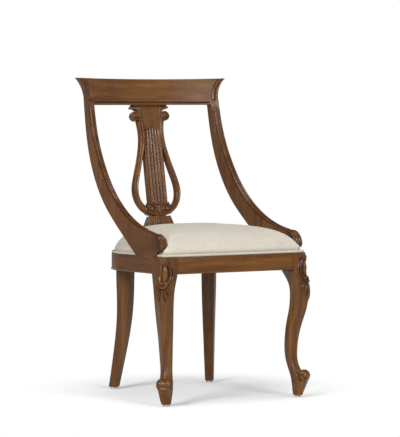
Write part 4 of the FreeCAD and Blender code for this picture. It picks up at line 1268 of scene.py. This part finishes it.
# %% The cushion's form
def seat_ring(inset, corner, count=200):
    """The seat's D outline in plan, inset all round."""
    wide, front, turn = half_frame - inset, front_face + inset, round_radius - inset

    def quarter(x, y, radius, first, steps):
        a = np.radians(np.linspace(first, first + 90, steps))
        return np.stack([x + radius * np.cos(a), y + radius * np.sin(a)], 1)

    right = joined([(0, front), (wide - corner, front)],
                   quarter(wide - corner, front + corner, corner, -90, 10),
                   quarter(half_frame - round_radius, round_start, turn, 0, 40),
                   [(0, round_start + turn)])
    right = resampled(right, count // 2 + 1)
    return np.vstack([right, right[::-1][1:-1] * (-1, 1)])


def cushion_rings(smaller):
    """Level rings up the crown. smaller leaves room for the cloth to swell."""
    rise, crown, foot_inset = 84.0 - smaller, 182.0, 7.6 + smaller
    bulge, bulge_height = 4.4, 16.0
    rings = []
    for angle in np.radians(np.concatenate([[0, 0.6], np.linspace(2, 88.5, 30)])):
        height = math.sin(angle) * rise
        inset = foot_inset + crown * (1 - math.cos(angle)) ** 1.25
        over_welt = bulge * math.exp(-((height - bulge_height) / 8.0) ** 2)
        ring = seat_ring(inset - over_welt, 11.0 + 0.12 * inset)
        rings.append(np.column_stack([ring, rail_top(ring[:, 1]) + height]))
    return np.array(rings)


def arm_cutter(side, gap):
    """The arm's solid, wider by the gap, to cut its place out of the cushion."""
    loop = post_outline()[0]
    grown = loop - inward_normals(loop) * gap
    across = np.array([1 + gap / post_thickness, -1.0])
    mesh = mesh_of("arm_cutter", *bar(post_rings(np.array([grown, grown]), across, side)))
    with edited(mesh) as work:
        bmesh.ops.recalc_face_normals(work, faces=work.faces)
    return in_scene("arm_cutter", mesh)


def cut_by(piece, cutters):
    """Cuts the cutters out of the piece and throws them away."""
    for cutter in cutters:
        cut = piece.modifiers.new("cut", "BOOLEAN")
        cut.operation, cut.object, cut.solver = "DIFFERENCE", cutter, "EXACT"
    apply_modifiers(piece)
    for cutter in cutters:
        bpy.data.objects.remove(cutter)


def shoe_cutter():
    """A plain box where the shoe stands."""
    corners = ((-59.5, 214), (59.5, 214), (59.5, 280), (-59.5, 280))
    box = bar([[(x, y, z) for x, y in corners] for z in (400, 520)])
    return in_scene("shoe_cutter", mesh_of("shoe_cutter", *box))


most_swelling = 2.0
points, faces = bar(cushion_rings(most_swelling))
cushion = make_piece("seat_cushion_linen", points, faces, ["seat_cover", "seat_foam"],
                     material=seat_linen)


# %% The cushion's cloth
def blown_up(piece, voxel, pressure, most_mm, held_below):
    """Remeshes the piece, blows it up as cloth and keeps each point near its place."""
    remesh = piece.modifiers.new("even", "REMESH")
    remesh.mode, remesh.voxel_size = "VOXEL", voxel
    apply_modifiers(piece)
    start = np.array([v.co for v in piece.data.vertices])
    seat = np.array([rail_top(y * 1000 - datum_y) for y in start[:, 1]]) / 1000
    foot = piece.vertex_groups.new(name="held")
    foot.add([int(i) for i in np.nonzero(start[:, 2] < seat + held_below)[0]], 1.0, "REPLACE")
    cloth = piece.modifiers.new("cloth", "CLOTH")
    settings = cloth.settings
    settings.use_pressure, settings.uniform_pressure_force = True, pressure
    settings.effector_weights.gravity = 0.0
    settings.vertex_group_mass = "held"
    settings.quality = 5
    settling = 20
    for frame_number in range(1, settling + 1):
        scene.frame_set(frame_number)
    depsgraph = bpy.context.evaluated_depsgraph_get()
    made = piece.evaluated_get(depsgraph).to_mesh()
    end = np.array([v.co for v in made.vertices])
    piece.evaluated_get(depsgraph).to_mesh_clear()
    piece.modifiers.clear()
    move = end - start
    length = np.maximum(np.linalg.norm(move, axis=1), 1e-9)
    move *= (np.minimum(length, most_mm / 1000) / length)[:, None]
    piece.data.vertices.foreach_set("co", (start + move).ravel())
    piece.data.update()
    scene.frame_set(1)
    print("cushion swelled by up to", round(float(length.max()) * 1000, 1), "mm before the cap")


blown_up(cushion, voxel=0.0055, pressure=4.0, most_mm=most_swelling, held_below=0.004)
finer = cushion.modifiers.new("finer", "SUBSURF")
finer.levels = finer.render_levels = 1
apply_modifiers(cushion)
tuck_gap = 1.4
cut_by(cushion, [arm_cutter(side, tuck_gap) for side in side_names] + [shoe_cutter()])
smooth_shaded(cushion.data, 50)
print("cushion:", len(cushion.data.polygons), "faces")

# %% [markdown]
# **The welt** is a cord covered in the same linen, sewn round the cushion's foot. It
# follows the seat's outline and stops where the arms and the shoe stand, so it is swept
# by the same tree as the cock bead, in three lengths.

# %% The welt
def welt_lines():
    """The welt's middle lines: in front of the arms, and behind them as far as the shoe."""
    rise, shoe_end, inset, corner = 3.7, 58.0, 4.0, 10.0
    ring = seat_ring(inset, corner, 700)
    right = ring[:len(ring) // 2 + 1]
    front = right[right[:, 1] < arm_foot_front - 0.8]
    front = np.vstack([front[::-1] * (-1, 1), front[1:]])
    rear = right[(right[:, 1] > arm_foot_back) & (right[:, 0] > shoe_end)]
    return [np.column_stack([run, rail_top(run[:, 1]) + rise])
            for run in (front, rear, rear * (-1, 1))]


welt_inputs = {"Radius": 0.004, "Flattening": 1.0, "Sides": 16, "Finish": welt_linen}
welts = [run_tree("seat_welt_" + name, line, swept_bead, welt_inputs, sharp_from=80)
         for name, line in zip(("front", "right", "left"), welt_lines())]
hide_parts("seat_welt")

# %% [markdown]
# ## Finishes on the CAD's own pieces
# The other pieces keep the CAD's solids. Each gets the finish of the real thing: planed
# hardwood blocks, birch plywood, black cambric, zinc-plated screws, nylon glides.

# %% The plain finishes
def plain_wood(name, light, dark, sizes):
    """Bare wood: light and dark grain, its sizes along X, Y and Z in millimetres."""
    material, tree, shader = new_material(name)
    wood = ramp(tree, stretched_noise(tree, sizes, detail=3.0), ((0.35, dark), (0.65, light)))
    fill(tree, shader, Base_Color=wood, Roughness=0.6)
    return material


def plain_finish(name, base, roughness, metallic=0.0, speckle=1.111, bump=0.1):
    """One colour with a fine speckle, its size in millimetres, that is also a faint relief."""
    material, tree, shader = new_material(name)
    noise = stretched_noise(tree, (speckle,) * 3)
    tone = ramp(tree, noise, ((0.3, 0.86), (0.7, 1.0)))
    fill(tree, shader, Base_Color=mixed(tree, 1.0, colour(base), tone, "MULTIPLY"),
         Normal=relief(tree, noise, bump, 0.0004), Roughness=roughness, Metallic=metallic)
    return material


planed_hardwood = plain_wood("planed_hardwood", "#C9A06C", "#A87F4E", (16.67, 250.0, 16.67))
birch_plywood = plain_wood("birch_plywood", "#D8B987", "#BC9762", (200.0, 16.67, 1.667))
black_cambric = plain_finish("black_cambric", "#1B1B1D", 0.95, speckle=0.714, bump=0.4)
zinc_steel = plain_finish("zinc_plated_steel", "#B9BCC0", 0.35, metallic=1.0)
white_nylon = plain_finish("white_nylon", "#D9D7CF", 0.45)

finishes = {"rear_leg": mahogany_upright, "seat_rail_front": mahogany_across,
            "seat_rail_back": mahogany_across, "seat_rail": mahogany_lengthways,
            "corner_block": planed_hardwood, "seat_cleat": planed_hardwood,
            "seat_board": birch_plywood, "dust_cover": black_cambric,
            "block_screws": zinc_steel, "leg_screws": zinc_steel, "seat_screws": zinc_steel,
            "glide_nails": zinc_steel, "glide": white_nylon}
for name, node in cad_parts.items():
    match = next((key for key in finishes if name.startswith(key)), None)
    for material_slot in node.material_slots:
        material_slot.material = finishes[match] if match else planed_hardwood
print("finishes:", len(finishes))

# %% [markdown]
# **Staples** hold the cambric along its edge, about 30 mm apart. They repeat along a
# path, so Geometry Nodes place them: a line round the cover is cut into even points, and one
# staple is set on each, turned along the line.

# %% Staples of the dust cover
def staple_tree():
    """Sets a staple, a box of the size Staple, at every Spacing along the line."""
    tree, given, line = line_tree("staples_on_line", {
        "Spacing": ("Float", 0.03), "Staple": ("Vector", (0.01, 0.001, 0.001))})
    spots = add_node(tree, "GeometryNodeCurveToPoints", {"mode": "LENGTH"}, _0=line,
                     Length=given["Spacing"]).outputs
    wire = add_node(tree, "GeometryNodeMeshCube", Size=given["Staple"])
    turn = add_node(tree, "FunctionNodeAlignRotationToVector", {"axis": "X"},
                    Vector=spots["Tangent"])
    placed = add_node(tree, "GeometryNodeInstanceOnPoints", Points=spots["Points"],
                      Instance=wire.outputs["Mesh"], Rotation=turn.outputs[0])
    return end_of_tree(tree, given, placed.outputs[0])


def staple_line(inset=6.0, under_face=0.25):
    """The cover's own outline in plan, inset, just under its face."""
    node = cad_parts["dust_cover"]
    spots = np.array([(node.matrix_world @ v.co)[:] for v in node.data.vertices])
    spots = spots * 1000 - (0, datum_y, 0)
    work = bmesh.new()
    hull_points = [work.verts.new((x, y, 0)) for x, y in np.unique(spots[:, :2].round(1), axis=0)]
    bmesh.ops.convex_hull(work, input=hull_points)
    bmesh.ops.dissolve_limit(work, angle_limit=0.01, verts=work.verts[:], edges=work.edges[:])
    rim = max(work.faces, key=lambda f: f.calc_area())
    loop = np.array([v.co[:2] for v in rim.verts])
    work.free()
    loop = resampled(np.vstack([loop, loop[:1]]), 300)[:-1]
    away = loop - loop.mean(0)
    loop = loop - away * (inset / np.linalg.norm(away, axis=1))[:, None]
    heights = np.interp(loop[:, 1], *cover_slope(spots))
    return np.column_stack([loop, heights - under_face])


def cover_slope(spots):
    """The height of the cover's underside at its front and back."""
    y, z, end = spots[:, 1], spots[:, 2], 3.0
    front, back = y.min(), y.max()
    return [front, back], [z[y < front + end].min(), z[y > back - end].min()]


run_tree("cover_staples", staple_line(), staple_tree(),
         {"Spacing": 0.03, "Staple": (0.011, 0.0007, 0.0005), "Finish": zinc_steel},
         closed=True)

# %% [markdown]
# ## Studio
# A pale floor that shows as white to the camera but keeps the chair's soft shadow,
# soft lamps left, right, in front and above, and a world that is brighter in front, so
# that edges seen against the back stay dark. Some way off the floor fades into plain white.
# The world shows as white to the camera and through anything clear, and what mirrors the
# place straight behind the chair sees white too, as it would a paper backdrop.

# %% Floor, world and lamps
def smooth_step(tree, value, first, last, low=0.0, high=1.0):
    """Goes softly from low, where the value is first, to high, where it is last."""
    step = add_node(tree, "ShaderNodeMapRange", {"interpolation_type": "SMOOTHSTEP"}, Value=value,
                    From_Min=first, From_Max=last, To_Min=low, To_Max=high)
    return step.outputs[0]


def studio_floor():
    """A flat floor, white to the camera but for the soft shadow under the chair."""
    reach, shadow_from, shadow_to = 30.0, 0.24, 0.54
    corners = [(-reach, -reach, 0), (reach, -reach, 0), (reach, reach, 0), (-reach, reach, 0)]
    mesh = bpy.data.meshes.new("studio_floor")
    mesh.from_pydata(corners, [], [(0, 1, 2, 3)])
    in_scene("studio_floor", mesh)
    material = bpy.data.materials.new("white_studio_floor")
    tree = emptied_tree(material)
    lit = add_node(tree, "ShaderNodeBsdfDiffuse", Color=colour("#E6E6E8"))
    plain = add_node(tree, "ShaderNodeBsdfDiffuse", Color=(1, 1, 1, 1))
    glow = add_node(tree, "ShaderNodeEmission", Color=(1, 1, 1, 1), Strength=0.18)
    near = add_node(tree, "ShaderNodeAddShader", _0=plain.outputs[0], _1=glow.outputs[0])
    white = add_node(tree, "ShaderNodeEmission", Color=(1, 1, 1, 1), Strength=1.0)
    place = add_node(tree, "ShaderNodeTexCoord")
    away = add_node(tree, "ShaderNodeVectorMath", {"operation": "LENGTH"},
                    _0=place.outputs["Object"])
    far = smooth_step(tree, away.outputs["Value"], shadow_from, shadow_to)
    seen = add_node(tree, "ShaderNodeMixShader", _0=far, _1=near.outputs[0], _2=white.outputs[0])
    path = add_node(tree, "ShaderNodeLightPath")
    choice = add_node(tree, "ShaderNodeMixShader", _0=path.outputs["Is Camera Ray"],
                      _1=lit.outputs[0], _2=seen.outputs[0])
    add_node(tree, "ShaderNodeOutputMaterial", Surface=choice.outputs[0])
    mesh.materials.append(material)


def either(tree, one, other):
    """1 where one or the other is 1."""
    return add_node(tree, "ShaderNodeMath", {"operation": "MAXIMUM"}, _0=one, _1=other).outputs[0]


def studio_world():
    """Soft light from in front, and the white backdrop."""
    scene.world = bpy.data.worlds.new("studio_world")
    tree = emptied_tree(scene.world)
    path = add_node(tree, "ShaderNodeLightPath").outputs
    place = add_node(tree, "ShaderNodeTexCoord")
    back = add_node(tree, "ShaderNodeSeparateXYZ", _0=place.outputs["Generated"]).outputs["Y"]
    lamp_side = add_node(tree, "ShaderNodeBackground", Color=(1, 1, 1, 1),
                         Strength=smooth_step(tree, back, 0.5, -0.8, 0.1, 0.4))
    camera_side = add_node(tree, "ShaderNodeBackground", Color=(1, 1, 1, 1), Strength=1.0)
    mirrored = add_node(tree, "ShaderNodeMath", {"operation": "MULTIPLY"},
                        _0=path["Is Glossy Ray"], _1=smooth_step(tree, back, 0.86, 1.0))
    seen = either(tree, path["Is Camera Ray"], path["Is Transmission Ray"])
    mix = add_node(tree, "ShaderNodeMixShader", _0=either(tree, seen, mirrored.outputs[0]),
                   _1=lamp_side.outputs[0], _2=camera_side.outputs[0])
    add_node(tree, "ShaderNodeOutputWorld", Surface=mix.outputs[0])


def set_facing(name, data, target, round_to_right, up, distance):
    """Stands a lamp or camera off its target and turns it to it; the angles are in degrees
    from straight in front."""
    azimuth, elevation = math.radians(round_to_right), math.radians(up)
    away = Vector((math.sin(azimuth) * math.cos(elevation),
                   -math.cos(azimuth) * math.cos(elevation), math.sin(elevation)))
    holder = in_scene(name, data)
    holder.location = target + away * distance
    holder.rotation_euler = (-away).to_track_quat("-Z", "Y").to_euler()
    return holder


def soft_lamp(name, round_to_right, up, power):
    """A square soft box that faces the chair's middle."""
    lamp = bpy.data.lights.new(name, "AREA")
    lamp.energy, lamp.size = power, 1.3
    set_facing(name, lamp, Vector((0, 0, 0.5)), round_to_right, up, 4.0)


studio_floor()
studio_world()
soft_lamp("left_lamp", -62, 28, 96)
soft_lamp("front_lamp", 8, 20, 47)
soft_lamp("right_lamp", 58, 42, 9)
soft_lamp("top_lamp", 0, 89, 38)
scene.view_settings.view_transform = "Standard"
print("studio: floor, world and 4 soft lamps")

# %% [markdown]
# ## Camera
# The photograph was taken from a long way off: the camera stands 6.86 m away, 29 degrees
# round to the chair's left and 3.6 degrees up, with a 190 mm lens.

# %% Camera
def photo_camera():
    """The lens and shift are in the photograph's own pixels, for its height of 437."""
    frame_height, focal_pixels, sensor = 437.0, 2311.8, 36.0
    data = bpy.data.cameras.new("photo_camera")
    data.sensor_width, data.lens = sensor, focal_pixels * sensor / frame_height
    data.shift_x, data.shift_y = 2.5 / frame_height, 24.3 / frame_height
    target = Vector((0.0, datum_y * 0.001, 0.45))
    scene.camera = set_facing("photo_camera", data, target, -28.96, 3.57, 6.86)


photo_camera()
